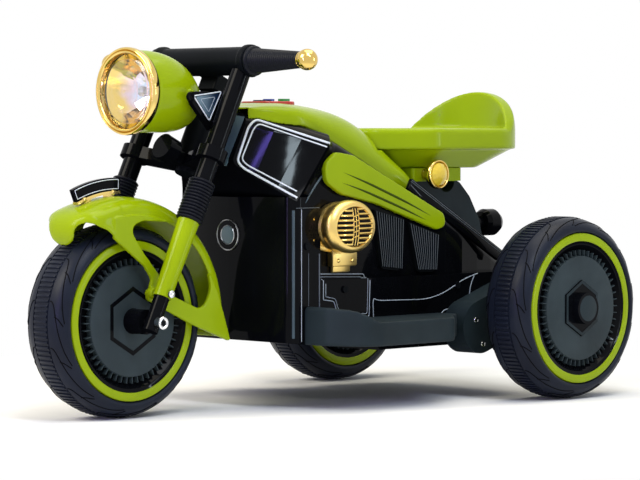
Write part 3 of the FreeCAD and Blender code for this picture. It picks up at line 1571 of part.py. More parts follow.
def gear(teeth, centre, low_x, high_x, first):
    """A plain toothed wheel about an axis across the bike; first is the angle of one tooth's middle."""
    module = size("gear_module")
    pitch_radius = teeth * module / 2
    tip, root = pitch_radius + 0.9 * module, pitch_radius - 1.2 * module
    step = 2 * math.pi / teeth
    tip_half = 0.25 * module / tip
    root_half = 1.05 * module / root
    spots = []
    for tooth in range(teeth):
        middle = first + tooth * step
        for radius, turn in ((root, -root_half), (tip, -tip_half), (tip, tip_half), (root, root_half)):
            angle = middle + turn
            y, z = centre[0] + radius * math.cos(angle), centre[1] + radius * math.sin(angle)
            spots.append(Vector(low_x, y, z))
    face = Part.Face(Part.makePolygon(spots + spots[:1]))
    return face.extrude(Vector(high_x - low_x, 0, 0))


def capsule(first, second, radius, low_x, high_x):
    between = Vector(0, second[0] - first[0], second[1] - first[1])
    side = Vector(0, -between.z, between.y).normalize() * radius
    ends = [Vector(low_x, *spot) for spot in (first, second)]
    tip = between.normalize() * radius
    edges = [
        Part.LineSegment(ends[0] + side, ends[1] + side),
        Part.Arc(ends[1] + side, ends[1] + tip, ends[1] - side),
        Part.LineSegment(ends[1] - side, ends[0] - side),
        Part.Arc(ends[0] - side, ends[0] - tip, ends[0] + side),
    ]
    face = Part.Face(Part.Wire([edge.toShape() for edge in edges]))
    return face.extrude(Vector(high_x - low_x, 0, 0))


def make_drive():
    pinion_at, idler_at, output_at = gear_centres()
    inner = size("tub_half")
    joint = inner + size("case_depth")
    outer = joint + size("lid_depth")
    wall, radius, run = size("case_wall"), size("case_radius"), size("run_play")
    low_x, high_x = inner + wall + 1, inner + wall + 1 + size("gear_width")
    ahead = math.atan2(output_at[1] - pinion_at[1], output_at[0] - pinion_at[0])
    pinion_count, idler_count, output_count = (
        int(size(name)) for name in ("pinion_teeth", "idler_teeth", "output_teeth")
    )
    axle_hole = bar_across(size("rear_axle_radius") + size("play"), inner - 1, outer + 1, *output_at)
    shaft_hole = bar_across(size("shaft_radius") + 1, inner - 1, joint, *pinion_at)

    case = capsule(pinion_at, output_at, radius, inner, joint)
    case = case.cut(capsule(pinion_at, output_at, radius - wall, inner + wall, joint))
    pin = bar_across(size("idler_pin"), inner + wall, outer - wall, *idler_at)
    feature("gearbox_case", case.fuse(pin).cut([axle_hole, shaft_hole]))
    lid = capsule(pinion_at, output_at, radius, joint, outer)
    lid = lid.cut(capsule(pinion_at, output_at, radius - wall, joint, outer - wall))
    boss_hole = bar_across(size("output_boss") + 0.5, joint, outer + 1, *output_at)
    feature("gearbox_cover", lid.cut(boss_hole))
    arm = mirror_x(capsule(pinion_at, output_at, radius, inner, outer).cut(axle_hole))
    feature("axle_arm_right", arm)

    pinion = gear(pinion_count, pinion_at, low_x, high_x, ahead)
    shaft = bar_across(size("shaft_radius"), inner - wall - 8, low_x, *pinion_at)
    feature("motor_pinion", pinion.fuse(shaft).removeSplitter())
    idler = gear(idler_count, idler_at, low_x, high_x, ahead + math.pi + math.pi / idler_count)
    feature("idler_gear", idler.cut(bar_across(size("idler_pin") + run, low_x - 1, high_x + 1, *idler_at)))
    output = gear(output_count, output_at, low_x, high_x, ahead + math.pi + math.pi / output_count)
    hub_face = size("(tub_half + track_out) - face_half + disc_drop")
    boss = bar_across(size("output_boss"), low_x, hub_face, *output_at)
    bore = bar_across(size("rear_axle_radius") + run, low_x - 1, hub_face + 1, *output_at)
    feature("output_gear", output.fuse(boss).removeSplitter().cut(bore))

    motor_face = inner - wall
    can = bar_across(size("motor_radius"), motor_face - size("motor_length"), motor_face, *pinion_at)
    shaft_room = bar_across(size("shaft_radius") + run, inner - wall - 8.2, inner, *pinion_at)
    feature("drive_motor", can.cut(shaft_room))


def make_rest_of_drive():
    reach = "(tub_half + track_out) + face_half + cap_reach/2 - wheel_gap"
    axle_at = (f"-({reach})", "wheelbase/2", "tyre_radius")
    node(cylinder("rear_axle_rod", "rear_axle_radius", f"2*({reach})", axle_at, ACROSS), "rear_axle")
    battery_at = ("-battery_width/2", "battery_front", "tub_floor + wall")
    node(block("battery_box", ("battery_width", "battery_length", "battery_height"), battery_at), "battery")
    socket_at = ("-tub_half - 2", "socket_y", "socket_z")
    socket_outline = (
        ("socket_bore", "0"),
        ("socket_radius + 3", "0"),
        ("socket_radius + 3", "2"),
        ("socket_radius", "2"),
        ("socket_radius", "2 + socket_depth"),
        ("0", "2 + socket_depth"),
        ("0", "socket_depth"),
        ("socket_bore", "socket_depth"),
    )
    node(turned("charge_socket", socket_outline, socket_at, ACROSS), "charge_socket")


def check_and_write():
    doc.recompute()
    failed = [thing.Name for thing in doc.Objects if {"Invalid", "Error"} & set(thing.State)]
    broken = [thing.Label for thing in NODES if thing.Shape.isNull() or not thing.Shape.isValid()]
    if failed or broken:
        raise RuntimeError(f"failed objects {failed}, bad shapes {broken}")
    os.makedirs("parts", exist_ok=True)
    for thing in NODES:
        thing.Shape.exportStep(f"parts/{thing.Label}.step")
        volume = thing.Shape.Volume / 1000
        print(f"{thing.Label:22s} solids {len(thing.Shape.Solids)} volume {volume:.1f} cm3")
    print(len(NODES), "nodes")


make_wheels()
make_fork()
make_steering()
make_handlebar()
make_headlight()
make_mudguard()
make_plate()
body_form = make_shells()
make_screws()
make_tank_cover(body_form)
make_panel()
make_seat()
make_seat_bracket()
make_tail(body_form)
make_trims(body_form)
make_pads(body_form)
make_horns()
make_turn_lights()
make_footboards()
make_drive()
make_rest_of_drive()
check_and_write()
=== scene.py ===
"""Looks of a children's electric motorbike on three wheels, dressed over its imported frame."""

import bmesh
import bpy
import json
import math
from mathutils import Matrix, Vector
from mathutils.bvhtree import BVHTree
from mathutils.interpolate import poly_3d_calc


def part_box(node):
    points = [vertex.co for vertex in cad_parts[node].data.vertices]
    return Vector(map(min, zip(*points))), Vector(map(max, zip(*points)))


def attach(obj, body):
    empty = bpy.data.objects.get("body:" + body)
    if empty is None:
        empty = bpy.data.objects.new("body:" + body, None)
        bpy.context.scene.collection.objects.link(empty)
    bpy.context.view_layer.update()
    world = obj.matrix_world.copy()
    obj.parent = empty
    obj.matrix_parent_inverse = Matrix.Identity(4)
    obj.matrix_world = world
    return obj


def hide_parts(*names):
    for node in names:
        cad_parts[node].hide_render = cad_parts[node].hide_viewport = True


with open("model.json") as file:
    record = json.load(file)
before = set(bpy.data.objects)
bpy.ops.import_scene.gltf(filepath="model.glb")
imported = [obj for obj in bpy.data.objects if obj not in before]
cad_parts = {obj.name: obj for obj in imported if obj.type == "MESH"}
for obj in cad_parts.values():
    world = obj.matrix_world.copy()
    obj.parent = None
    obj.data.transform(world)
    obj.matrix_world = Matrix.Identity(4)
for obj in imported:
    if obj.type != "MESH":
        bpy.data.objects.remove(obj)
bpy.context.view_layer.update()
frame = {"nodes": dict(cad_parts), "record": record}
NODES = frame["nodes"]
MM = 0.001

# Layout in millimetres, the same figures as the solids

AXLE_Y, AXLE_Z = 273.5, 110.0
TRACK = 195.6
RAKE = math.radians(25.8)
FORK_X, FORK_AHEAD = 65.0, 27.2
TANK_X = 88.0
LAMP_FRONT, LAMP_Z = -260.0, 368.5
BAR_UP = 326.0
LEFT, UP, REARWARD = Vector((1, 0, 0)), Vector((0, 0, 1)), Vector((0, 1, 0))
FORK_LINE = Vector((0, math.sin(RAKE), math.cos(RAKE)))
FORK_BACK = Vector((0, math.cos(RAKE), -math.sin(RAKE)))
FRONT_AXLE = (0, -AXLE_Y, AXLE_Z)
FORK_FOOT = Vector((FORK_X, -AXLE_Y, AXLE_Z))
STEER_FOOT = Vector((0, -AXLE_Y + FORK_AHEAD * math.cos(RAKE), AXLE_Z - FORK_AHEAD * math.sin(RAKE)))

# Lift of a line off its surface, reach of the left side, and bend of a sharp edge

LINE_LIFT = 0.15
FAR_LEFT, LEFT_FROM = 400.0, 20.0
SHARP_EDGE = math.radians(30.0)

# The photograph's camera, in millimetres and pixels

EYE = Vector((2554.9, -2508.7, 323.8))
EYE_YAW, EYE_PITCH = math.radians(44.894), math.radians(2.087)
FOCAL_PIXELS = 3000.0
PICTURE_WIDE, PICTURE_HIGH = 640.0, 480.0
SENSOR = 36.0
AHEAD = Vector((-math.sin(EYE_YAW) * math.cos(EYE_PITCH), math.cos(EYE_YAW) * math.cos(EYE_PITCH),
                -math.sin(EYE_PITCH)))
ASIDE = AHEAD.cross(UP).normalized()
ABOVE = ASIDE.cross(AHEAD)


# Materials


def shader(name):
    """A new material with its principled node and its tree."""
    made = bpy.data.materials.new(name)
    made.use_nodes = True
    tree = made.node_tree
    return made, tree.nodes["Principled BSDF"], tree


def link(source, target):
    """Joins two sockets of one node tree."""
    source.id_data.links.new(source, target)


def fill(node, values):
    """Sets inputs of a node by their names."""
    for key, value in values.items():
        node.inputs[key].default_value = value


def add(tree, kind, **values):
    """A new node with some of its inputs or settings given."""
    made = tree.nodes.new(kind)
    for key, value in values.items():
        if key in made.inputs:
            made.inputs[key].default_value = value
        else:
            setattr(made, key, value)
    return made


def noise(tree, scale, detail):
    """A noise pattern on the object's own metres."""
    coordinates = add(tree, "ShaderNodeTexCoord")
    made = add(tree, "ShaderNodeTexNoise", Scale=scale, Detail=detail)
    link(coordinates.outputs["Object"], made.inputs["Vector"])
    return made.outputs["Fac"]


def ramp(tree, source, low, high, first, last):
    made = add(tree, "ShaderNodeValToRGB")
    made.color_ramp.elements[0].position = first
    made.color_ramp.elements[1].position = last
    made.color_ramp.elements[0].color = (*low, 1)
    made.color_ramp.elements[1].color = (*high, 1)
    link(source, made.inputs["Fac"])
    return made.outputs["Color"]


def span(tree, source, low, high, first=0.0, last=1.0):
    """Stretches the range from first to last of a value to the range from low to high."""
    limits = {"From Min": first, "From Max": last, "To Min": low, "To Max": high}
    made = add(tree, "ShaderNodeMapRange", **limits)
    link(source, made.inputs["Value"])
    return made.outputs["Result"]


def stirred(tree, cloud, share, value):
    """A value with a share of a noise added."""
    made = add(tree, "ShaderNodeMath", operation="MULTIPLY_ADD")
    made.inputs[1].default_value = share
    link(cloud, made.inputs[0])
    link(value, made.inputs[2])
    return made.outputs[0]


def bump(tree, surface, height, strength, distance):
    made = add(tree, "ShaderNodeBump", Strength=strength, Distance=distance)
    link(height, made.inputs["Height"])
    link(made.outputs["Normal"], surface.inputs["Normal"])


def moulded(name, colour, shade, rough, grain=900.0, grain_depth=4e-5, specular=0.5, coat=0.0,
            metal=0.0):
    """Plastic or metal: colour drifts slightly, gloss is uneven and the face has a fine grain."""
    made, surface, tree = shader(name)
    tone = ramp(tree, noise(tree, 14.0, 4.0), shade, colour, 0.3, 0.7)
    link(tone, surface.inputs["Base Color"])
    gloss = span(tree, noise(tree, 60.0, 5.0), rough * 0.75, rough * 1.25)
    link(gloss, surface.inputs["Roughness"])
    bump(tree, surface, noise(tree, grain, 2.0), 0.35, grain_depth)
    fill(surface, {"Metallic": metal, "Specular IOR Level": specular, "Coat Weight": coat,
                   "Coat Roughness": 0.06})
    return made


def paint_shade_below(made, specular):
    """Painted shade: takes the gloss off faces that look down, so that they stay dark instead of mirroring
    the white floor.
    """
    tree = made.node_tree
    facing, parts = add(tree, "ShaderNodeNewGeometry"), add(tree, "ShaderNodeSeparateXYZ")
    link(facing.outputs["Normal"], parts.inputs["Vector"])
    level = span(tree, parts.outputs["Z"], 0.0, specular, -0.30, -0.03)
    link(level, tree.nodes["Principled BSDF"].inputs["Specular IOR Level"])


LIME = moulded("lime gloss", (0.278, 0.382, 0.002), (0.248, 0.343, 0.001), 0.2, 300, 2e-5, 0.12, 0.03)
BLACK_GLOSS = moulded("black gloss", (0.003, 0.0035, 0.005), (0.002, 0.0022, 0.003), 0.045, 200, 4e-6,
                      0.06)
BLACK_SATIN = moulded("black satin", (0.005, 0.006, 0.008), (0.003, 0.004, 0.005), 0.4, 1400, 6e-5, 0.06)
# Painted shade on the undersides of the black plastics
paint_shade_below(BLACK_GLOSS, 0.06)
paint_shade_below(BLACK_SATIN, 0.04)
GRAINED = moulded("grained plastic", (0.016, 0.026, 0.032), (0.009, 0.015, 0.019), 0.5, 700, 0.00014, 0.12)
RUBBER = moulded("rubber", (0.005, 0.006, 0.011), (0.003, 0.004, 0.007), 0.42, 1600, 5e-5, 0.12)
# The blue in the tyre's colour is in part a painted sheen over near-black rubber
TYRE = moulded("tyre", (0.010, 0.014, 0.026), (0.006, 0.008, 0.016), 0.36, 1200, 5e-5, 0.12)
# Near black painted as the shade inside the tyre's sipes
PAINTED_SIPE_SHADE = moulded("tyre groove painted shade", (0.0015, 0.0018, 0.003), (0.001, 0.001, 0.002), 0.6, 1200, 1e-5, 0.05)
HUB_GREY = moulded("hub grey", (0.030, 0.044, 0.052), (0.016, 0.024, 0.029), 0.6, 900, 0.0003, 0.15)
GOLD = moulded("gold plate", (0.84, 0.63, 0.22), (0.70, 0.48, 0.13), 0.11, 120, 2e-5, 0.5, 0.0, 1.0)
GOLD_SATIN = moulded("satin gold", (0.84, 0.63, 0.22), (0.74, 0.52, 0.16), 0.34, 300, 3e-5, 0.5, 0.0,
                     1.0)
CHROME = moulded("bright metal", (0.82, 0.83, 0.85), (0.72, 0.73, 0.75), 0.14, 200, 1e-5, 0.5, 0.0, 1.0)
STEEL = moulded("zinc steel", (0.5, 0.51, 0.53), (0.42, 0.43, 0.45), 0.3, 700, 2e-5, 0.5, 0.0, 1.0)
RED = moulded("red gloss", (0.55, 0.025, 0.015), (0.46, 0.016, 0.01), 0.2, 300, 2e-5, 0.4, 0.2)
WHITE_LINE = moulded("white line", (0.74, 0.79, 0.86), (0.66, 0.72, 0.80), 0.35, 900, 1e-5)
# The pale and dim line colours serve for print, and also as painted highlights on edges and rib crests
PALE_LINE = moulded("pale line", (0.46, 0.53, 0.62), (0.38, 0.44, 0.52), 0.4, 900, 1e-5)
DIM_LINE = moulded("dim line", (0.11, 0.135, 0.16), (0.07, 0.088, 0.105), 0.4, 900, 1e-5)
# Darker lime painted as the shade inside the trim grooves
GROOVE_PAINTED_SHADE = moulded("groove shade", (0.055, 0.085, 0.002), (0.036, 0.058, 0.001), 0.6, 900, 1e-5, 0.1)
NYLON = moulded("nylon", (0.75, 0.73, 0.66), (0.68, 0.66, 0.6), 0.4, 900, 3e-5)
GREEN = moulded("green button", (0.03, 0.32, 0.07), (0.02, 0.26, 0.05), 0.25)
BLUE = moulded("blue button", (0.03, 0.09, 0.42), (0.02, 0.06, 0.34), 0.25)
SLATE = moulded("slate face", (0.085, 0.14, 0.17), (0.06, 0.10, 0.125), 0.3, 900, 3e-5, 0.4)
AMBER = moulded("amber lens", (0.80, 0.60, 0.05), (0.62, 0.42, 0.02), 0.12, 300, 4e-5, 0.5, 0.3)


def clear_material(name, tint, rough):
    made, surface, tree = shader(name)
    bump(tree, surface, noise(tree, 90.0, 2.0), 0.12, 0.0002)
    fill(surface, {"Base Color": (*tint, 1), "Roughness": rough, "Transmission Weight": 1.0, "IOR": 1.45})
    return made


def painted_reflector_material():
    """Silver facets with painted reflections: pale blue in the middle, rose further out and gold at the
    rim.
    """
    made, surface, tree = shader("reflector painted reflections")
    coordinates = add(tree, "ShaderNodeTexCoord")
    shift = add(tree, "ShaderNodeVectorMath", operation="SUBTRACT")
    shift.inputs[1].default_value = (0, 0, LAMP_Z * MM)
    flatten = add(tree, "ShaderNodeVectorMath", operation="MULTIPLY")
    flatten.inputs[1].default_value = (1, 0, 1)
    away = add(tree, "ShaderNodeVectorMath", operation="LENGTH")
    link(coordinates.outputs["Object"], shift.inputs[0])
    link(shift.outputs["Vector"], flatten.inputs[0])
    link(flatten.outputs["Vector"], away.inputs[0])
    uneven = stirred(tree, noise(tree, 70.0, 1.0), 0.018, away.outputs["Value"])
    tint = add(tree, "ShaderNodeValToRGB")
    stops = tint.color_ramp.elements
    stops[0].position, stops[0].color = 0.30, (0.74, 0.85, 1.0, 1)
    stops[1].position, stops[1].color = 0.86, (0.92, 0.66, 0.16, 1)
    rose = stops.new(0.60)
    rose.color = (0.86, 0.66, 0.72, 1)
    link(span(tree, uneven, 0.0, 1.0, 0.009, 0.05), tint.inputs["Fac"])
    link(tint.outputs["Color"], surface.inputs["Base Color"])
    fill(surface, {"Metallic": 1.0, "Roughness": 0.13})
    return made


def graded_material(name, first, last, start, end):
    """A face whose colour changes along the bike."""
    made, surface, tree = shader(name)
    coordinates, split = add(tree, "ShaderNodeTexCoord"), add(tree, "ShaderNodeSeparateXYZ")
    link(coordinates.outputs["Object"], split.inputs[0])
    place = span(tree, split.outputs["Y"], 0.0, 1.0, start * MM, end * MM)
    uneven = stirred(tree, noise(tree, 60.0, 3.0), 0.3, place)
    link(ramp(tree, uneven, first, last, 0.15, 1.1), surface.inputs["Base Color"])
    fill(surface, {"Roughness": 0.25, "Specular IOR Level": 0.2})
    return made


# Blue-grey painted as the sheen on rounded corners and ridges of the black body
PAINTED_SHEEN = moulded("corner painted sheen", (0.055, 0.088, 0.11), (0.035, 0.058, 0.074), 0.25, 900, 1e-5, 0.3)
EAR_FACE = graded_material("ear face", (0.16, 0.24, 0.30), (0.006, 0.018, 0.05), -196.0, -160.0)
CLEAR = clear_material("clear lens", (0.97, 0.98, 1.0), 0.02)
PAINTED_REFLECTOR = painted_reflector_material()

SLOT_FINISH = {
    "tyre_black": TYRE, "hub_dark": BLACK_GLOSS, "lime": LIME, "black_gloss": BLACK_GLOSS,
    "black_matte": BLACK_SATIN, "rubber_black": RUBBER, "gold": GOLD, "bright": CHROME, "steel": STEEL,
    "clear": CLEAR, "amber": AMBER, "mirror_silver": PAINTED_REFLECTOR, "red": RED, "nylon": NYLON,
    "button_green": GREEN, "button_blue": BLUE,
}
BODY_OF, SLOT_OF = {}, {}
for body, members in frame["record"]["behaviour"]["bodies"].items():
    for member in members:
        BODY_OF[member] = body
for row in frame["record"]["subparts"]:
    SLOT_OF[row["node"]] = row["material_slot"]
    mesh = NODES[row["node"]].data
    mesh.materials.clear()
    mesh.materials.append(SLOT_FINISH[row["material_slot"]])
for dark in ("shell_screws", "output_gear"):
    NODES[dark].data.materials[0] = BLACK_SATIN
for grained in ("footboard_left", "footboard_right", "tail_bracket", "gearbox_case", "gearbox_cover"):
    NODES[grained].data.materials[0] = GRAINED


# Making pieces


def piece(name, form, finish, like, sharp=35.0, replaces=()):
    """Turns a form in millimetres into a piece that moves with a node."""
    bmesh.ops.remove_doubles(form, verts=form.verts, dist=0.002)
    bmesh.ops.recalc_face_normals(form, faces=form.faces)
    bmesh.ops.scale(form, vec=(MM, MM, MM), verts=form.verts)
    for face in form.faces:
        face.smooth = True
    mesh = bpy.data.meshes.new(name)
    form.to_mesh(mesh)
    form.free()
    mesh.set_sharp_from_angle(angle=math.radians(sharp))
    mesh.materials.append(finish)
    return settle(bpy.data.objects.new(name, mesh), like, replaces)


def show(made):
    bpy.context.scene.collection.objects.link(made)
    return made


def settle(made, like, replaces=()):
    """Puts a piece on the body of a node."""
    show(made)
    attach(made, BODY_OF[like])
    if replaces:
        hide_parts(*replaces)
    return made


def lathe(form, outline, origin, axis, steps=96, closed=False):
    """Spins (radius, along) corners about an axis through the origin."""
    aside = LEFT if abs(axis.x) < 0.5 else UP
    verts = [form.verts.new(Vector(origin) + aside * radius + axis * along) for radius, along in outline]
    joined = list(zip(verts, verts[1:]))
    if closed:
        joined.append((verts[-1], verts[0]))
    edges = [form.edges.new(ends) for ends in joined]
    bmesh.ops.spin(form, geom=verts + edges, cent=origin, axis=axis, angle=math.tau, steps=steps,
                   use_merge=True)


def facing(outline, side):
    """An outline for one side: 1 keeps it and -1 turns it round."""
    return [(radius, side * along) for radius, along in outline]


def soften(form, width, edges=None):
    """Rounds some edges, or else all those where faces meet sharply."""
    if edges is None:
        edges = [edge for edge in form.edges
                 if len(edge.link_faces) == 2 and edge.calc_face_angle() > SHARP_EDGE]
    bmesh.ops.bevel(form, geom=edges, offset=width, offset_type="OFFSET", affect="EDGES", segments=2,
                    profile=0.5, material=-1, clamp_overlap=True)


def block(form, low, high, width, turn=None):
    """A box between two corners, turned about its middle, with eased edges."""
    low, high = Vector(low), Vector(high)
    made = bmesh.ops.create_cube(form, size=1.0)["verts"]
    bmesh.ops.scale(form, vec=high - low, verts=made)
    if turn is not None:
        bmesh.ops.rotate(form, cent=(0, 0, 0), matrix=turn, verts=made)
    bmesh.ops.translate(form, vec=(low + high) / 2, verts=made)
    soften(form, width, list({edge for vert in made for edge in vert.link_edges}))


def extrude(form, face, way):
    """Grows a face into a plate."""
    grown = bmesh.ops.extrude_face_region(form, geom=[face])
    moved = [item for item in grown["geom"] if isinstance(item, bmesh.types.BMVert)]
    bmesh.ops.translate(form, vec=way, verts=moved)


def side_plate(form, corners, start, end, rounding=0.0):
    """A plate of side view (y, z) corners between two X places; rounding needs a form of its own."""
    verts = [form.verts.new((start, y, z)) for y, z in corners]
    face = form.faces.new(verts)
    if rounding:
        bmesh.ops.bevel(form, geom=verts, offset=rounding, offset_type="OFFSET", affect="VERTICES",
                        segments=5, profile=0.5, material=-1, clamp_overlap=True)
        face = next(iter(form.faces))
    extrude(form, face, (end - start, 0, 0))


def ball(form, centre, radius, flat=1.0):
    made = bmesh.ops.create_uvsphere(form, u_segments=20, v_segments=12, radius=radius)["verts"]
    bmesh.ops.scale(form, vec=(flat, 1, 1), verts=made)
    bmesh.ops.translate(form, vec=centre, verts=made)


def pair(name, form, *looks):
    """A piece together with its mirror image on the right side."""
    geometry = form.verts[:] + form.edges[:] + form.faces[:]
    bmesh.ops.mirror(form, geom=geometry, matrix=Matrix.Identity(4), merge_dist=0.0001, axis="X")
    return piece(name, form, *looks)


def around(form, origin, axis, count):
    """Repeats everything in the form evenly about an axis."""
    geometry = form.verts[:] + form.edges[:] + form.faces[:]
    bmesh.ops.spin(form, geom=geometry, cent=origin, axis=axis, angle=math.tau * (count - 1) / count,
                   steps=count - 1, use_duplicate=True)


def lines(name, runs, radius, finish, like, closed=False, tapered=False):
    """Thin raised lines through runs of spots; a tapered one is thickest in its middle."""
    curve = bpy.data.curves.new(name, "CURVE")
    curve.dimensions = "3D"
    curve.bevel_depth = radius * MM
    curve.bevel_resolution = 1
    curve.use_fill_caps = True
    for spots in runs:
        spline = curve.splines.new("POLY")
        spline.points.add(len(spots) - 1)
        for index, (point, spot) in enumerate(zip(spline.points, spots)):
            point.co = (*(Vector(spot) * MM), 1)
            if tapered:
                point.radius = 0.15 + 0.85 * math.sin(math.pi * index / (len(spots) - 1)) ** 0.8
        spline.use_cyclic_u = closed
    curve.materials.append(finish)
    return settle(bpy.data.objects.new(name, curve), like)


def mirrored(runs):
    return runs + [[Vector((-spot[0], spot[1], spot[2])) for spot in spots] for spots in runs]


def moulding(node, voxel, rounds, finish=None, change=None):
    """A copy of a solid with its edges eased all over, as a moulding's are; it stands for that solid."""
    form = bmesh.new()
    form.from_mesh(NODES[node].data)
    bmesh.ops.remove_doubles(form, verts=form.verts, dist=2e-6)
    if change:
        change(form)
    mesh = bpy.data.meshes.new(node + "_moulding")
    form.to_mesh(mesh)
    form.free()
    mesh.materials.append(finish or SLOT_FINISH[SLOT_OF[node]])
    made = bpy.data.objects.new(node + "_moulding", mesh)
    even = made.modifiers.new("even", "REMESH")
    even.mode = "VOXEL"
    even.voxel_size = voxel * MM
    even.use_smooth_shade = True
    ease = made.modifiers.new("ease", "SMOOTH")
    ease.factor, ease.iterations = 0.5, rounds
    return settle(made, node, (node,))


def through(stations, steps):
    """Places on a smooth run through some stations, each a tuple of numbers."""
    spots = []
    last = len(stations) - 1
    for index in range(last):
        around_it = [stations[min(max(index + shift, 0), last)] for shift in (-1, 0, 1, 2)]
        for step in range(steps):
            t = step / steps
            shares = (-t * (1 - t) ** 2 / 2, 1 + t * t * (3 * t - 5) / 2,
                      t * (1 + t * (4 - 3 * t)) / 2, t * t * (t - 1) / 2)
            spots.append([sum(share * value for share, value in zip(shares, values))
                          for values in zip(*around_it)])
    return spots + [list(stations[-1])]


def reshape_mudguard(form):
    """Replaces the front of the mudguard by one flowing sheet, from the stays to the rounded bill.

    Each station is a place about the front axle: X, degrees up from level rearward, and radius.
    """
    cut_ahead, thick, fullness = 38, 3.0, 2 / 2.7
    steps, flank, arch = 6, 4, 16
    everything = form.verts[:] + form.edges[:] + form.faces[:]
    bmesh.ops.bisect_plane(form, geom=everything, plane_co=Vector((0, -AXLE_Y - cut_ahead, 0)) * MM,
                           plane_no=(0, 1, 0), clear_inner=True)
    bmesh.ops.holes_fill(form, edges=[edge for edge in form.edges if edge.is_boundary], sides=0)
    edge = through((
        (45.2, 107.0, 91.0), (45.2, 110.9, 101.5), (45, 113.6, 111), (43.5, 116.6, 119), (40, 119.3, 126),
        (34, 121.3, 130.8), (27, 123.5, 132.3), (23, 126, 131), (20.5, 127.8, 127), (18, 129.3, 121.5),
        (11.5, 130.6, 116.5), (3, 131.2, 114)), steps)
    rim = through((
        (43, 102.5, 118.5), (43, 106.5, 118.5), (43, 110.5, 119), (42.5, 115.5, 121), (39.6, 119.1, 126.8),
        (33.7, 121.1, 131.6), (26.8, 123.3, 133), (22.8, 125.9, 131.6), (20.3, 127.7, 127.6),
        (17.8, 129.2, 122.1), (11.3, 130.5, 117), (2.9, 131.2, 114.2)), steps)
    crown = through((
        (0, 100, 140), (0, 104, 140), (0, 108, 140.2), (0, 112, 140.6), (0, 115.5, 141), (0, 118.6, 141),
        (0, 121.4, 140), (0, 124, 138), (0, 126.4, 134.6), (0, 128.6, 129), (0, 130.2, 122),
        (0, 131.2, 114.6)), steps)
    rows = []
    for places in zip(edge, rim, crown):
        low, side, top = [wheel_spot(FRONT_AXLE, radius, math.radians(angle), x)
                          for x, angle, radius in places]
        half = [low.lerp(side, step / flank) for step in range(flank)]
        for step in range(arch + 1):
            turn = math.pi / 2 * step / arch
            spot = side.lerp(top, math.sin(turn) ** fullness)
            half.append(Vector((side.x * max(math.cos(turn), 0) ** fullness, spot.y, spot.z)))
        rows.append(half + [Vector((-spot.x, spot.y, spot.z)) for spot in reversed(half[:-1])])
    grid = [[form.verts.new(spot * MM) for spot in row] for row in rows]
    faces = []
    for near, far in zip(grid, grid[1:]):
        for index in range(len(near) - 1):
            faces.append(form.faces.new((near[index], near[index + 1], far[index + 1], far[index])))
    bmesh.ops.recalc_face_normals(form, faces=faces)
    if faces[len(faces) // 2].normal.z < 0:
        bmesh.ops.reverse_faces(form, faces=faces)
    bmesh.ops.solidify(form, geom=faces, thickness=thick * MM)


def tree_of(*nodes):
    """The surface of some solids, for laying lines on it."""
    corners, faces = [], []
    for name in nodes:
        mesh = NODES[name].data
        first = len(corners)
        corners += [vert.co.copy() for vert in mesh.vertices]
        faces += [[first + index for index in face.vertices] for face in mesh.polygons]
    return BVHTree.FromPolygons(corners, faces)


def picture_ray(across, down):
    """The way from the eye through a place of the picture."""
    right, up = across - PICTURE_WIDE / 2, PICTURE_HIGH / 2 - down
    return (AHEAD + ASIDE * (right / FOCAL_PIXELS) + ABOVE * (up / FOCAL_PIXELS)).normalized()


def first_hit(surface, start, way):
    """The first spot of a surface on a way, lifted off it a little so that a line shows."""
    spot, normal, _, _ = surface.ray_cast(start * MM, way)
    return None if spot is None else spot / MM + normal * LINE_LIFT


def dense(corners, step):
    """Places along straight runs between corners, closer than a step."""
    spots = []
    for first, second in zip(corners, corners[1:]):
        run = math.dist(first, second)
        count = max(int(run / step), 1)
        for index in range(count):
            share = index / count
            spots.append([a + (b - a) * share for a, b in zip(first, second)])
    return spots + [list(corners[-1])]


def eased(corners, reach, closed=False):
    """Corners cut into short arcs that start a reach before each corner."""
    spots = []
    last = len(corners) - 1
    for index, corner in enumerate(corners):
        here = Vector(corner)
        if not closed and index in (0, last):
            spots.append(here)
            continue
        before, after = Vector(corners[index - 1]), Vector(corners[(index + 1) % len(corners)])
        start = here + (before - here).normalized() * min(reach, (before - here).length / 2)
        end = here + (after - here).normalized() * min(reach, (after - here).length / 2)
        for turn in range(5):
            share = turn / 4
            spots.append(start.lerp(here, share).lerp(here.lerp(end, share), share))
    return spots


# Wheels


def wheel_spot(centre, radius, turn, across):
    """A place on a wheel: turn is measured from the rear, upwards."""
    return Vector((centre[0] + across, centre[1] + radius * math.cos(turn),
                   centre[2] + radius * math.sin(turn)))


TYRE_HALF = ((10.6, 108.6), (11.0, 107.7), (12.0, 107.6), (12.5, 108.9), (17.0, 108.2), (21.0, 107.0),
             (25.0, 105.2), (28.5, 102.8), (31.2, 99.8), (32.9, 97.0), (33.4, 95.2), (33.0, 93.2),
             (32.4, 92.3), (31.4, 91.9), (29.0, 91.6))


def tyre_radius_at(across):
    for (first, high), (second, low) in zip(TYRE_HALF, TYRE_HALF[1:]):
        if first <= across <= second:
            return high + (low - high) * (across - first) / (second - first)
    return TYRE_HALF[0][1]


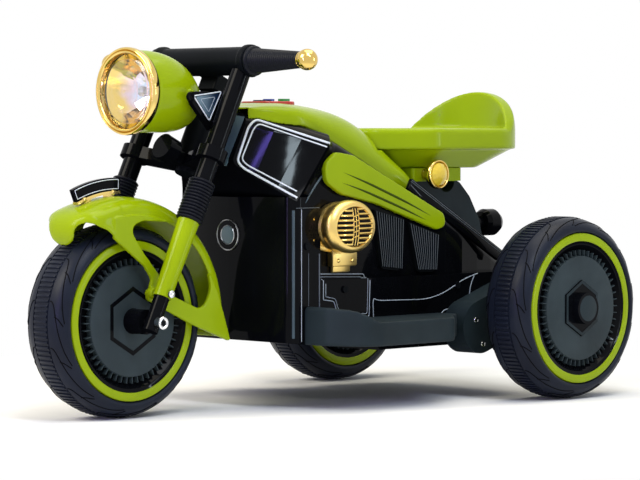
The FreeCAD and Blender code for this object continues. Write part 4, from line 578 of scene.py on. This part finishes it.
def make_tyre(node, centre):
    """Tread with a ribbed middle band between two thin grooves, and shoulders with curved sipes."""
    form = bmesh.new()
    right = [(radius, -across) for across, radius in reversed(TYRE_HALF)]
    left = [(radius, across) for across, radius in TYRE_HALF]
    lathe(form, right + left, centre, LEFT, 144)
    piece(node + "_casing", form, TYRE, node, 60, (node,))
    ribs = 118
    form = bmesh.new()
    thick, half, low, high = 1.45, 10.4, 107.4, 109.95
    block(form, (centre[0] - half, centre[1] - thick, centre[2] + low),
          (centre[0] + half, centre[1] + thick, centre[2] + high), 0.5)
    around(form, centre, LEFT, ribs)
    piece(node + "_ribs", form, TYRE, node)
    runs = []
    repeats, proud = 13, 0.05
    long_steps, long_start, long_reach, sweep, bend = 14, 13.5, 17.5, 0.62, 0.16
    short_steps, short_start, short_reach = 6, 21.0, 9.0
    for side in (-1, 1):
        for index in range(repeats):
            base = math.tau * index / repeats
            long = []
            for step in range(long_steps + 1):
                share = step / long_steps
                across = long_start + long_reach * share
                turn = base + sweep * share - bend * math.sin(math.pi * share * 1.2)
                long.append(wheel_spot(centre, tyre_radius_at(across) + proud, turn, side * across))
            short = []
            for step in range(short_steps + 1):
                across = short_start + short_reach * step / short_steps
                turn = base + bend + 0.10 * (step / short_steps) ** 2
                short.append(wheel_spot(centre, tyre_radius_at(across) + proud, turn, side * across))
            runs += [long, short]
    # The sipes are near-black lines painted as the shade inside the grooves
    lines(node + "_sipes", runs, 0.62, PAINTED_SIPE_SHADE, node)


def make_ring(node, centre):
    form = bmesh.new()
    outline = ((80.6, 27.5), (80.6, 31.4), (81.2, 32.2), (82.4, 32.5), (88.6, 32.4), (90.0, 31.8),
               (90.6, 30.6), (90.7, 28.4))
    for side in (-1, 1):
        lathe(form, facing(outline, side), centre, LEFT, 128)
    piece(node + "_band", form, LIME, node, 40, (node,))


def hexagon_ring(form, centre, side, inner, outer, low, high):
    """A flat six-cornered band about a wheel's axis; a pair of corners stands above and below it."""
    for corner in range(6):
        turns = [math.radians(90 + 60 * (corner + step)) for step in (0, 1)]
        spots = [(outer, turns[0]), (outer, turns[1]), (inner, turns[1]), (inner, turns[0])]
        verts = [form.verts.new(wheel_spot(centre, radius, turn, side * low)) for radius, turn in spots]
        extrude(form, form.faces.new(verts), (side * (high - low), 0, 0))


def make_hub_dressing(node, centre, rear):
    """Fins round a grained disc, with a hexagon groove in front or a capped raised hexagon behind."""
    fins, dish, disc, groove = bmesh.new(), bmesh.new(), bmesh.new(), bmesh.new()
    wall = ((61.0, 23.4), (70.2, 24.0), (72.0, 26.0), (75.4, 29.4), (76.4, 30.6), (77.4, 30.6),
            (78.6, 31.0), (80.8, 31.6))
    plate = ((14.6, 31.5), (61.2, 31.5), (62.5, 31.0), (63.1, 29.8), (63.2, 24.0))
    cap = ((0, 0.03), (15.4, 0.03), (16.4, -0.4))
    fin_half, fin_root, fin_tip, fins_round = 0.55, 62.6, 70.4, 52
    for side in (-1, 1):
        low, high = sorted((side * 24.0, side * 30.4))
        block(fins, (centre[0] + low, centre[1] - fin_half, centre[2] + fin_root),
              (centre[0] + high, centre[1] + fin_half, centre[2] + fin_tip), 0.25)
        lathe(dish, facing(wall, side), centre, LEFT)
        lathe(disc, facing(plate, side), centre, LEFT)
        if not rear:
            hexagon_ring(groove, centre, side, 33.6, 39.0, 31.3, 31.75)
    around(fins, centre, LEFT, fins_round)
    piece(node + "_fins", fins, HUB_GREY, node)
    piece(node + "_dish", dish, BLACK_GLOSS, node, 40)
    piece(node + "_disc", disc, HUB_GREY, node, 40)
    if rear:
        outward = 1 if centre.x > 0 else -1
        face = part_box(node)[1].x if centre.x > 0 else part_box(node)[0].x
        lathe(groove, facing(cap, outward), (face / MM, centre.y, centre.z), LEFT, 64)
        hexagon_ring(groove, centre, outward, 29.6, 33.4, 33.2, 33.9)
        piece(node + "_cap_face", groove, GRAINED, node)
    else:
        piece(node + "_groove", groove, BLACK_GLOSS, node)


for wheel, centre in (("front", FRONT_AXLE), ("rear_left", (TRACK, AXLE_Y, AXLE_Z)),
                      ("rear_right", (-TRACK, AXLE_Y, AXLE_Z))):
    make_tyre(wheel + "_tyre", Vector(centre))
    make_ring(wheel + "_rings", Vector(centre))
    make_hub_dressing(wheel + "_hub", Vector(centre), wheel != "front")


# Fork, handlebar and headlight


def make_gaiters():
    form = bmesh.new()
    low, high, ribs = 124.4, 173.8, 13
    pitch = (high - low) / ribs
    outline = [(9.4, low)]
    for rib in range(ribs):
        start = low + rib * pitch
        outline += [(13.5, start), (14.6, start + pitch * 0.18), (15.5, start + pitch * 0.38),
                    (15.5, start + pitch * 0.56), (14.6, start + pitch * 0.76)]
    outline += [(13.5, high), (9.4, high)]
    lathe(form, outline, FORK_FOOT, FORK_LINE, 64)
    pair("fork_gaiter_bellows", form, RUBBER, "fork_gaiters", 60, ("fork_gaiters",))


def make_grips():
    middle = STEER_FOOT - FORK_BACK * FORK_AHEAD + FORK_LINE * BAR_UP
    form = bmesh.new()
    start, end = 78.2, 156.8
    outline = [(7.2, start), (16.4, start), (17.3, start + 0.9), (17.3, start + 3.8), (16.4, start + 4.8),
               (14.4, start + 5.6)]
    rings = 22
    for ring in range(rings):
        share = (ring + 0.5) / rings
        place = start + 7 + share * (end - start - 9)
        radius = 14.4 - 4.8 * share
        outline += [(radius, place - 1.1), (radius - 0.5, place - 0.7), (radius - 0.5, place - 0.1),
                    (radius, place + 0.3)]
    outline += [(9.7, end - 1.2), (9.0, end), (7.2, end)]
    lathe(form, outline, middle, LEFT, 56)
    pair("grip_sleeves", form, RUBBER, "grips", 50, ("grips",))


def make_headlight():
    origin = (0, LAMP_FRONT, LAMP_Z)
    form = bmesh.new()
    outline = ((42.6, 10.6), (42.6, 3.2), (43.1, 1.6), (44.2, 0.8), (45.3, 1.0), (46.1, 2.0), (46.4, 3.4),
               (46.9, 2.0), (47.8, 1.3), (49.0, 1.8), (49.8, 3.2), (50.0, 5.4), (49.8, 9.0), (49.0, 10.8),
               (47.4, 11.4), (44.6, 11.4))
    lathe(form, outline, origin, REARWARD, 128, True)
    piece("headlight_rim", form, GOLD, "headlight_bezel", 40, ("headlight_bezel",))
    seam = bmesh.new()
    outline = ((44.7, 11.2), (46.6, 11.3), (46.8, 12.4), (46.6, 14.2), (44.7, 14.2))
    lathe(seam, outline, origin, REARWARD, 96, True)
    piece("headlight_seam", seam, BLACK_SATIN, "headlight_bezel")
    facets = bmesh.new()
    outline = ((44.2, 14.2), (38.5, 19.5), (32.0, 27.5), (24.0, 36.0), (14.0, 43.0), (6.0, 46.0), (0, 46.4))
    lathe(facets, outline, origin, REARWARD, 22)
    # The facets' colours are painted reflections on silver
    piece("headlight_facets", facets, PAINTED_REFLECTOR, "headlight_reflector", 1)
    bulb = bmesh.new()
    outline = ((0, 24.5), (3.0, 25.2), (5.2, 27.4), (6.0, 30.5), (5.6, 36.0), (5.0, 46.0))
    lathe(bulb, outline, origin, REARWARD, 32)
    piece("headlight_bulb", bulb, WHITE_LINE, "headlight_reflector")


def make_ear_marks():
    """Outlined triangle with a slate face, and the pivot screw at the front corner."""
    face = 53.2
    corners = ((-200.5, 363.2), (-157.5, 368.4), (-176.4, 335.1))
    centre = Vector((sum(y for y, z in corners) / 3, sum(z for y, z in corners) / 3))

    def shrunk(share):
        return [tuple(centre + (Vector(corner) - centre) * share) for corner in corners]

    outer = [[Vector((face, y, z)) for y, z in eased(corners, 2.5, True)]]
    lines("ear_outlines", mirrored(outer), 0.8, WHITE_LINE, "headlight_ears", True)
    inner = [[Vector((face + 0.2, y, z)) for y, z in eased(shrunk(0.52), 2.0, True)]]
    lines("ear_inner_outlines", mirrored(inner), 0.4, PALE_LINE, "headlight_ears", True)
    form = bmesh.new()
    side_plate(form, shrunk(0.86), face - 0.5, face + 0.2, 2.5)
    pair("ear_faces", form, EAR_FACE, "headlight_ears")
    pivot = bmesh.new()
    outline = ((0, 1.0), (2.0, 1.0), (2.4, 1.8), (4.2, 2.2), (5.4, 1.6), (5.8, -0.5))
    lathe(pivot, outline, (face - 0.2, -205.5, 362.0), LEFT, 32)
    pair("ear_pivots", pivot, BLACK_GLOSS, "headlight_ears")


def make_screw_heads():
    """Socket screw heads on the front axle's ends and domes on the mudguard's screws."""
    heads, sockets = bmesh.new(), bmesh.new()
    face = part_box("front_axle")[1].x / MM
    axle = (face, -AXLE_Y, AXLE_Z)
    lathe(heads, ((7.2, -1.6), (7.2, 0.1), (6.4, 1.0), (5.0, 1.1), (4.3, 0.4), (4.0, 0.05)), axle, LEFT, 48)
    lathe(sockets, ((4.1, 0.15), (0, 0.2)), axle, LEFT, 6)
    pair("axle_screw_rims", heads, CHROME, "front_axle")
    pair("axle_screw_sockets", sockets, BLACK_SATIN, "front_axle", 1)
    domes = bmesh.new()
    low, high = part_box("fender_screws")
    middle = (low + high) / 2 / MM
    outline = ((0, 1.5), (1.8, 1.3), (3.2, 0.6), (3.9, -0.6))
    lathe(domes, outline, (high.x / MM, middle.y, middle.z), LEFT, 32)
    pair("fender_screw_domes", domes, CHROME, "fender_screws")


make_gaiters()
make_grips()
make_headlight()
make_ear_marks()
make_screw_heads()
moulding("headlight_bucket", 1.1, 5)
moulding("front_fender", 1.25, 6, None, reshape_mudguard)
moulding("bar_cover", 1.4, 4, BLACK_SATIN)


# Plate and its rail


def make_plate_marks():
    """Border lines on both faces of the plate, and the clips that hold it."""
    first, last, steps = 112.4, 88.6, 18
    low, high = 148.4, 158.8
    runs = []
    for face in (-2.7, 2.7):
        corners = []
        for radius, start, end in ((low, first, last), (high, last, first)):
            for step in range(steps + 1):
                turn = math.radians(start + (end - start) * step / steps)
                corners.append(wheel_spot(FRONT_AXLE, radius, turn, face))
        runs.append(corners)
    lines("plate_borders", runs, 0.5, WHITE_LINE, "number_plate", True)
    clips = bmesh.new()
    for angle in (109.0, 92.0):
        turn = math.radians(angle)
        spot = wheel_spot(FRONT_AXLE, 144.4, turn, 0)
        block(clips, spot + Vector((-4.6, -2.4, -3.0)), spot + Vector((4.6, 2.4, 3.0)), 1.0,
              Matrix.Rotation(turn - math.pi / 2, 3, "X"))
    piece("plate_clips", clips, GOLD, "plate_rail")


make_plate_marks()


# Tank, cowl and side marks

SHELL = "body_shell_left"
SHELLS = tree_of(SHELL, "body_shell_right")


def from_picture(corners, step=2.0, reach=4.0):
    """A run of spots on the shells under places of the picture, with eased corners."""
    flat = [tuple(spot) for spot in eased(corners, reach)]
    spots = [first_hit(SHELLS, EYE, picture_ray(*place)) for place in dense(flat, step)]
    return [spot for spot in spots if spot is not None and spot.x > LEFT_FROM]


def from_side(corners, step=4.0, reach=3.0, surface=SHELLS):
    """A run of spots on the left of a surface, from places of the side view."""
    flat = [tuple(spot) for spot in eased(corners, reach)]
    spots = [first_hit(surface, Vector((FAR_LEFT, y, z)), -LEFT) for y, z in dense(flat, step)]
    return [spot for spot in spots if spot is not None]


def make_tank_stripes():
    outer = ((329.3, 143.3), (255.7, 119.3), (248.6, 126.4), (237.1, 160.7), (242.9, 167.9), (297.1, 197.9))
    inner = ((327.0, 147.0), (258.6, 123.6), (253.6, 128.6), (241.4, 159.3), (247.0, 165.0), (297.0, 191.4))
    for name, corners, radius in (("outer", outer, 1.4), ("inner", inner, 0.9)):
        runs = mirrored([from_picture(corners)])
        lines("tank_stripe_" + name, runs, radius, WHITE_LINE, SHELL)


def make_side_marks():
    """Outlined square and swept double lines on the lower body."""
    square = ((-37.3, 127.0), (-37.3, 156.9), (41.0, 154.3), (39.3, 104.5), (-10.0, 108.0), (-16.0, 114.4),
              (-20.0, 124.7), (-37.3, 127.0))
    upper = ((46.7, 102.4), (45.4, 127.1), (52.5, 122.6), (139.5, 120.8), (170.3, 127.3), (206.3, 143.4),
             (231.1, 149.0))
    lower = ((57.6, 100.3), (132.3, 102.1), (136.0, 99.1), (160.1, 99.2), (170.3, 106.5), (183.1, 108.6),
             (196.1, 103.7))
    right = ((224.5, 146.3), (216.7, 132.6), (215.5, 112.5))
    runs = [from_side(square), from_side(upper, 2.0, 14.0), from_side(lower), from_side(right, 2.0, 8.0)]
    lines("side_mark_lines", mirrored(runs), 0.55, PALE_LINE, SHELL)
    inset = ((-33.3, 130.5), (-33.3, 153.4), (37.4, 151.0), (35.9, 107.8), (-8.0, 111.0), (-13.4, 116.8),
             (-17.4, 127.6), (-33.3, 130.5))
    lines("side_mark_insets", mirrored([from_side(inset)]), 0.35, PALE_LINE, SHELL)


make_tank_stripes()
make_side_marks()
moulding("tank_cover", 1.2, 10)
moulding("seat", 1.5, 16)
moulding("side_trims", 1.2, 9)
for board in ("footboard_left", "footboard_right"):
    moulding(board, 1.6, 12, GRAINED)


# Horns and pads


def make_horns():
    """An oval flange with ball screws, a barrel and a domed face with slats and bars."""
    middle = Vector((TANK_X, -9.5, 212.0))
    long, tall = 39.0, 31.0
    outline = ((0.84, 0.0), (0.91, 2.0), (0.93, 5.0), (0.93, 11.0), (0.90, 13.0), (0.90, 15.0),
               (0.94, 17.0), (0.955, 20.0), (1.0, 22.5), (1.0, 27.0), (0.97, 30.4), (0.91, 32.8),
               (0.84, 34.2), (0.77, 34.8), (0.75, 33.8), (0.73, 33.2), (0.5, 35.0), (0.25, 36.0),
               (0.0, 36.4))
    plate = ((0.0, 5.4), (0.80, 5.2), (0.92, 4.6), (0.99, 3.4), (1.0, 1.6), (0.97, 0.2))

    def oval(form, shape, across, high, centre):
        """Spins an outline of shares and squeezes it to an oval, in a form that holds nothing else."""
        lathe(form, [(share * across, along) for share, along in shape], (0, 0, 0), LEFT)
        bmesh.ops.scale(form, vec=(1, 1, high / across), verts=form.verts)
        bmesh.ops.translate(form, vec=centre, verts=form.verts)

    shell, flange, hollow, foot = bmesh.new(), bmesh.new(), bmesh.new(), bmesh.new()
    oval(shell, outline, long, tall, middle)
    oval(flange, plate, 47.0, 26.0, middle + Vector((0, -5.5, -4.0)))
    oval(hollow, [(share, along + 0.25) for share, along in outline[-4:]], long, tall, middle)
    low = middle.z - tall
    block(foot, (TANK_X, middle.y - 12, low - 16), (TANK_X + 10.4, middle.y + 29, low + 8), 2.2)
    block(foot, (TANK_X, middle.y - 7, low - 23), (TANK_X + 5.4, middle.y + 22, low - 10), 1.6)
    pair("horn_shells", shell, GOLD_SATIN, "horns", 40, ("horns",))
    pair("horn_flanges", flange, GOLD_SATIN, "horns", 40)
    pair("horn_hollows", hollow, BLACK_SATIN, "horns")
    pair("horn_feet", foot, GOLD_SATIN, "horns", 40)

    def on_dome(y, z):
        share = math.hypot(y / long, z / tall)
        return middle + Vector((dome_top - dome_drop * share * share, y, z))

    slats, bars = [], []
    dome_top, dome_drop = 36.9, 5.8
    rows, pitch, slat_start, bar_side = 8, 5.6, 4.4, 4.2
    for row in range(rows):
        z = (row - (rows - 1) / 2) * pitch
        end = 0.745 * long * math.sqrt(1 - (z / (0.77 * tall)) ** 2)
        for side in (-1, 1):
            places = [side * (slat_start + (end - slat_start) * step / 6) for step in range(7)]
            slats.append([on_dome(y, z + side * 0.8) for y in places])
    for y in (-bar_side, 0.0, bar_side):
        bars.append([on_dome(y, (step / 8 - 0.5) * 1.4 * tall) for step in range(9)])
    for z in (-12.5, -6.5, -0.5, 5.5, 11.5):
        bars.append([on_dome(-bar_side, z), on_dome(bar_side, z + 2.2)])
    lines("horn_slats", mirrored(slats), 1.6, GOLD, "horns")
    lines("horn_bars", mirrored(bars), 0.75, GOLD, "horns")
    screws = bmesh.new()
    for z in (-15.0, 9.0):
        ball(screws, middle + Vector((6.0, -43.0, z)), 4.2)
    for y in (-3.0, 20.0):
        ball(screws, Vector((TANK_X + 10.4, middle.y + y, low - 9)), 2.6, 0.6)
    pair("horn_screws", screws, GOLD, "horns")


def make_pad_ribs():
    """Upright ribs over the two pads on each side, with grey lines painted as highlights along their
    crests.
    """
    form, crest_highlights = bmesh.new(), []
    ribs = 12
    for top_front, top_rear, foot_rear, foot_front in (
        ((54, 231), (104, 219), (101, 157), (65, 161)),
        ((113, 215), (166, 199), (162, 154), (128, 155)),
    ):
        for rib in range(ribs):
            share = (rib + 0.5) / ribs
            top = Vector(top_front).lerp(Vector(top_rear), share)
            foot = Vector(foot_front).lerp(Vector(foot_rear), share)
            half = (top_rear[0] - top_front[0]) / ribs * 0.32
            corners = ((top.x - half, top.y - 1.5), (top.x + half, top.y - 1.5),
                       (foot.x + half * 0.7, foot.y + 1.5), (foot.x - half * 0.7, foot.y + 1.5))
            side_plate(form, corners, TANK_X + 2.0, TANK_X + 6.6)
            ends = ((top.x, top.y - 2), (foot.x, foot.y + 2))
            crest_highlights.append([Vector((TANK_X + 6.7, y, z)) for y, z in ends])
    soften(form, 0.7)
    pair("pad_ribs", form, BLACK_SATIN, "ribbed_pads")
    lines("pad_rib_painted_highlights", mirrored(crest_highlights), 0.35, DIM_LINE, "ribbed_pads")


def make_trim_grooves():
    """Two long tapered grooves on each side trim, as half-sunk lines of darker lime painted as the shade
    inside them.
    """
    surface = tree_of("side_trims")
    upper = ((-18.0, 280.0), (40.0, 262.0), (110.0, 237.0), (164.0, 215.0))
    lower = ((-20.0, 267.0), (30.0, 254.0), (100.0, 231.0), (156.0, 210.5))
    runs = [from_side(corners, 3.0, 20.0, surface) for corners in (upper, lower)]
    sunk = [[spot - LEFT * 0.9 for spot in run] for run in runs]
    lines("trim_groove_painted_shade", mirrored(sunk), 1.7, GROOVE_PAINTED_SHADE, "side_trims", False, True)


def make_nose_faces():
    """Slate facing on the leaning front of the tank, each side of the steering head."""
    form = bmesh.new()
    corners = []
    for x, z in ((20.5, 284.0), (36.5, 284.0), (40.0, 340.0), (20.5, 342.0)):
        corners.append(form.verts.new((x, -106.7 - (342.9 - z) * math.tan(RAKE), z)))
    extrude(form, form.faces.new(corners), (0, 1.6, -0.7))
    pair("nose_faces", form, SLATE, SHELL)


def make_cowl_plug():
    """Plain round plug inside two thin bright rings on the front of the cowl."""
    origin = (0, -96.0, 202.0)
    ring, band, plug = bmesh.new(), bmesh.new(), bmesh.new()
    for inner, outer in ((10.6, 11.5), (17.2, 18.4)):
        middle = (inner + outer) / 2
        outline = ((inner, 1.0), (inner, -1.9), (middle, -2.5), (outer, -1.9), (outer, 1.5))
        lathe(ring, outline, origin, REARWARD, 72)
    lathe(band, ((17.4, 0.5), (17.0, -1.5), (14.0, -1.9), (11.2, -1.7), (11.0, 0.5)), origin, REARWARD, 72)
    lathe(plug, ((10.8, 0.5), (10.4, -1.6), (7.0, -2.2), (0.0, -2.5)), origin, REARWARD, 72)
    piece("cowl_plug_rings", ring, STEEL, SHELL)
    piece("cowl_plug_band", band, BLACK_GLOSS, SHELL)
    piece("cowl_plug", plug, SLATE, SHELL)


def make_cowl_seams():
    """Lines down the cowl's side: pale ones painted as highlights on its side edges, a wider grey one
    painted as the highlight on its rear edge, grey lines on its side joint and its level joint under the
    tank, and a bead on its corner whose blue-grey colour is a painted sheen.
    """
    pale = [from_side(((-73.0, 233.0), (-73.0, 80.0)), 6.0)]
    wide = [from_side(((-44.0, 181.0), (-44.0, 118.0)), 6.0)]
    dim = [from_side(((-61.5, 182.0), (-61.5, 121.0)), 6.0), from_side(((-80.0, 234.5), (-44.0, 234.5)))]
    bead = [[Vector((93.6, -81.8, z)) for z in (232.0, 160.0, 84.0)]]
    lines("cowl_edge_painted_highlights", mirrored(pale), 0.4, PALE_LINE, SHELL)
    lines("cowl_rear_edge_painted_highlights", mirrored(wide), 0.9, DIM_LINE, SHELL)
    lines("cowl_joints", mirrored(dim), 0.35, DIM_LINE, SHELL)
    lines("cowl_corner_beads", mirrored(bead), 2.2, PAINTED_SHEEN, SHELL)


def make_rails():
    """A rail with two thin lines along the top of the body, from the tank to the rear wheels."""
    top, foot, depth = Vector((124.0, 266.5)), Vector((287.5, 175.7)), 15
    down = Vector((-(foot - top).y, (foot - top).x)).normalized() * -1
    corners = [tuple(top), tuple(foot), tuple(foot + down * depth), tuple(top + down * depth)]
    form = bmesh.new()
    side_plate(form, corners, TANK_X - 5.0, TANK_X + 0.8)
    soften(form, 1.2)
    pair("body_rails", form, BLACK_GLOSS, SHELL)
    runs = []
    for drop in (2.2, 4.4):
        ends = [top + down * drop, foot + down * drop]
        runs.append([Vector((TANK_X + 0.8, *spot)) for spot in ends])
    lines("body_rail_lines", mirrored(runs), 0.4, DIM_LINE, SHELL)


def make_ridge_highlight():
    """Tapered blue-grey strip painted as the highlight where the tank's side turns in behind its stripes.
    """
    run = from_picture(((325.5, 171.6), (318.0, 181.0), (310.5, 193.0), (305.5, 203.0)), 1.5, 6.0)
    lines("tank_ridge_painted_highlights", mirrored([run]), 1.6, PAINTED_SHEEN, SHELL, False, True)


def make_gear_screws():
    """Two bright screws on the gear case cover."""
    form = bmesh.new()
    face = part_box("gearbox_cover")[1].x / MM
    outline = ((0, 1.3), (1.6, 1.2), (2.9, 0.7), (3.4, -0.2), (3.4, -1.0))
    for y, z in ((191.0, 94.9), (203.8, 65.2)):
        lathe(form, outline, (face, y, z), LEFT, 32)
    piece("gear_case_screws", form, CHROME, "gearbox_cover")


def make_turn_lenses():
    """Cut amber lenses in rounded gold housings."""
    middle = Vector((62.0, 175.0, 271.0))
    ring, lens = bmesh.new(), bmesh.new()
    outline = ((0, 0.2), (6.8, 0.2), (7.0, 8.0), (14.6, 13.6), (17.2, 17.0), (18.0, 19.0), (17.8, 23.0),
               (17.0, 24.2), (15.8, 24.4), (15.0, 23.4), (14.6, 22.0))
    lathe(ring, outline, middle, LEFT, 64)
    lathe(lens, ((14.5, 22.0), (13.6, 24.6), (9.6, 27.4), (5.0, 29.2), (0, 29.8)), middle, LEFT, 12)
    pair("turn_light_bodies", ring, GOLD, "turn_light_rings", 40, ("turn_light_rings",))
    pair("turn_light_cut_lenses", lens, AMBER, "turn_light_lenses", 1, ("turn_light_lenses",))


make_horns()
make_pad_ribs()
make_trim_grooves()
make_nose_faces()
make_cowl_plug()
make_cowl_seams()
make_rails()
make_ridge_highlight()
make_gear_screws()
make_turn_lenses()


# Stage: floor, light and the photograph's camera


def seen_directly(tree):
    """One where a ray comes from the eye, a mirror or glass."""
    path = add(tree, "ShaderNodeLightPath")
    first, second = [add(tree, "ShaderNodeMath", operation="MAXIMUM") for _ in range(2)]
    link(path.outputs["Is Camera Ray"], first.inputs[0])
    link(path.outputs["Is Glossy Ray"], first.inputs[1])
    link(first.outputs[0], second.inputs[0])
    link(path.outputs["Is Transmission Ray"], second.inputs[1])
    return second.outputs[0]


def mix_surfaces(tree, share, first, second, output):
    """Joins two surfaces, the second by its share, to an output."""
    mix = add(tree, "ShaderNodeMixShader")
    link(share, mix.inputs["Fac"])
    link(first.outputs[0], mix.inputs[1])
    link(second.outputs[0], mix.inputs[2])
    link(mix.outputs[0], tree.nodes[output].inputs["Surface"])


def backdrop_world():
    """White to the eye, in mirrors and through glass, and a softer grey as light."""
    world = bpy.data.worlds.new("studio")
    bpy.context.scene.world = world
    world.use_nodes = True
    tree = world.node_tree
    light, paper = tree.nodes["Background"], add(tree, "ShaderNodeBackground")
    fill(light, {"Color": (0.92, 0.95, 1.0, 1), "Strength": 0.35})
    fill(paper, {"Color": (1, 1, 1, 1)})
    mix_surfaces(tree, seen_directly(tree), light, paper, "World Output")


def area_lamp(name, width, height, watts, colour):
    lamp = bpy.data.lights.new(name, "AREA")
    lamp.shape = "RECTANGLE"
    lamp.size, lamp.size_y = width, height
    lamp.energy = watts
    lamp.color = colour
    return show(bpy.data.objects.new(name, lamp))


def softbox(name, place, aim, width, height, watts, colour):
    made = area_lamp(name, width, height, watts, colour)
    made.location = place
    made.rotation_euler = (Vector(aim) - Vector(place)).to_track_quat("-Z", "Y").to_euler()


def photo_camera():
    lens = bpy.data.cameras.new("photo camera")
    lens.sensor_width = SENSOR
    lens.lens = SENSOR * FOCAL_PIXELS / PICTURE_WIDE
    made = show(bpy.data.objects.new("photo camera", lens))
    made.location = EYE * MM
    made.rotation_euler = AHEAD.to_track_quat("-Z", "Y").to_euler()
    bpy.context.scene.camera = made


def pale_floor():
    """White paper that keeps the shadow: its far part fades to plain white."""
    paper, surface, tree = shader("floor paper")
    tone = ramp(tree, noise(tree, 40.0, 2.0), (0.94, 0.94, 0.94), (0.97, 0.97, 0.97), 0.2, 0.8)
    link(tone, surface.inputs["Base Color"])
    fill(surface, {"Roughness": 0.9, "Specular IOR Level": 0.1})
    coordinates = add(tree, "ShaderNodeTexCoord")
    distance = add(tree, "ShaderNodeVectorMath", operation="LENGTH")
    link(coordinates.outputs["Object"], distance.inputs[0])
    both = add(tree, "ShaderNodeMath", operation="MULTIPLY")
    link(span(tree, distance.outputs["Value"], 0.0, 1.0, 0.45, 0.85), both.inputs[0])
    link(seen_directly(tree), both.inputs[1])
    mix_surfaces(tree, both.outputs[0], surface, add(tree, "ShaderNodeEmission"), "Material Output")
    mesh = bpy.data.meshes.new("floor")
    form = bmesh.new()
    bmesh.ops.create_grid(form, x_segments=2, y_segments=2, size=6.0)
    form.to_mesh(mesh)
    form.free()
    mesh.materials.append(paper)
    made = show(bpy.data.objects.new("floor", mesh))
    made.location.z = -0.0004


def shine_at(across, down):
    """The spot of the left shell under a place of the picture, and where its gloss looks from there."""
    mesh = NODES[SHELL].data
    ray = picture_ray(across, down)
    spot, _, index, _ = tree_of(SHELL).ray_cast(EYE * MM, ray)
    face = mesh.polygons[index]
    shares = poly_3d_calc([mesh.vertices[corner].co for corner in face.vertices], spot)
    normal = Vector()
    for loop, share in zip(face.loop_indices, shares):
        normal += mesh.corner_normals[loop].vector * share
    return spot, ray.reflect(normal.normalized())


def mirror_strip(name, top, foot, reach, width, watts, colour):
    """A strip lamp whose mirror image lies on the shell between two places of the picture."""
    (high, high_way), (low, low_way) = shine_at(*top), shine_at(*foot)
    first, last = high + high_way * reach, low + low_way * reach
    along, place = first - last, (first + last) / 2
    back = (place - (high + low) / 2).normalized()
    long = (along - back * along.dot(back)).normalized()
    made = area_lamp(name, width, along.length, watts, colour)
    turn = Matrix((long.cross(back), long, back)).transposed()
    made.matrix_world = Matrix.Translation(place) @ turn.to_4x4()


bpy.context.scene.view_settings.view_transform = "Standard"
backdrop_world()
photo_camera()
pale_floor()
softbox("key", (-0.6, -2.2, 1.9), (0, 0, 0.2), 1.3, 1.3, 50, (1.0, 0.94, 0.80))
softbox("side", (1.45, -0.8, 2.6), (0, 0, 0.2), 1.0, 1.2, 31, (0.94, 0.97, 1.0))
softbox("top", (0.2, 0.4, 2.4), (0, 0, 0.2), 1.8, 1.8, 34, (1.0, 0.93, 0.76))
softbox("left strip", (0.2, -2.4, 0.6), (0.05, -0.1, 0.25), 0.06, 1.2, 9, (0.45, 0.3, 1.0))
softbox("right strip", (2.3, 1.25, 0.55), (0.0, 0.0, 0.25), 0.05, 1.0, 5, (0.8, 0.92, 1.0))
mirror_strip("pale strip", (297.0, 138.0), (283.0, 186.0), 2.2, 0.07, 6.0, (0.75, 0.9, 1.0))
mirror_strip("violet strip", (263.0, 130.0), (251.0, 168.0), 2.2, 0.02, 1.2, (0.25, 0.18, 1.0))
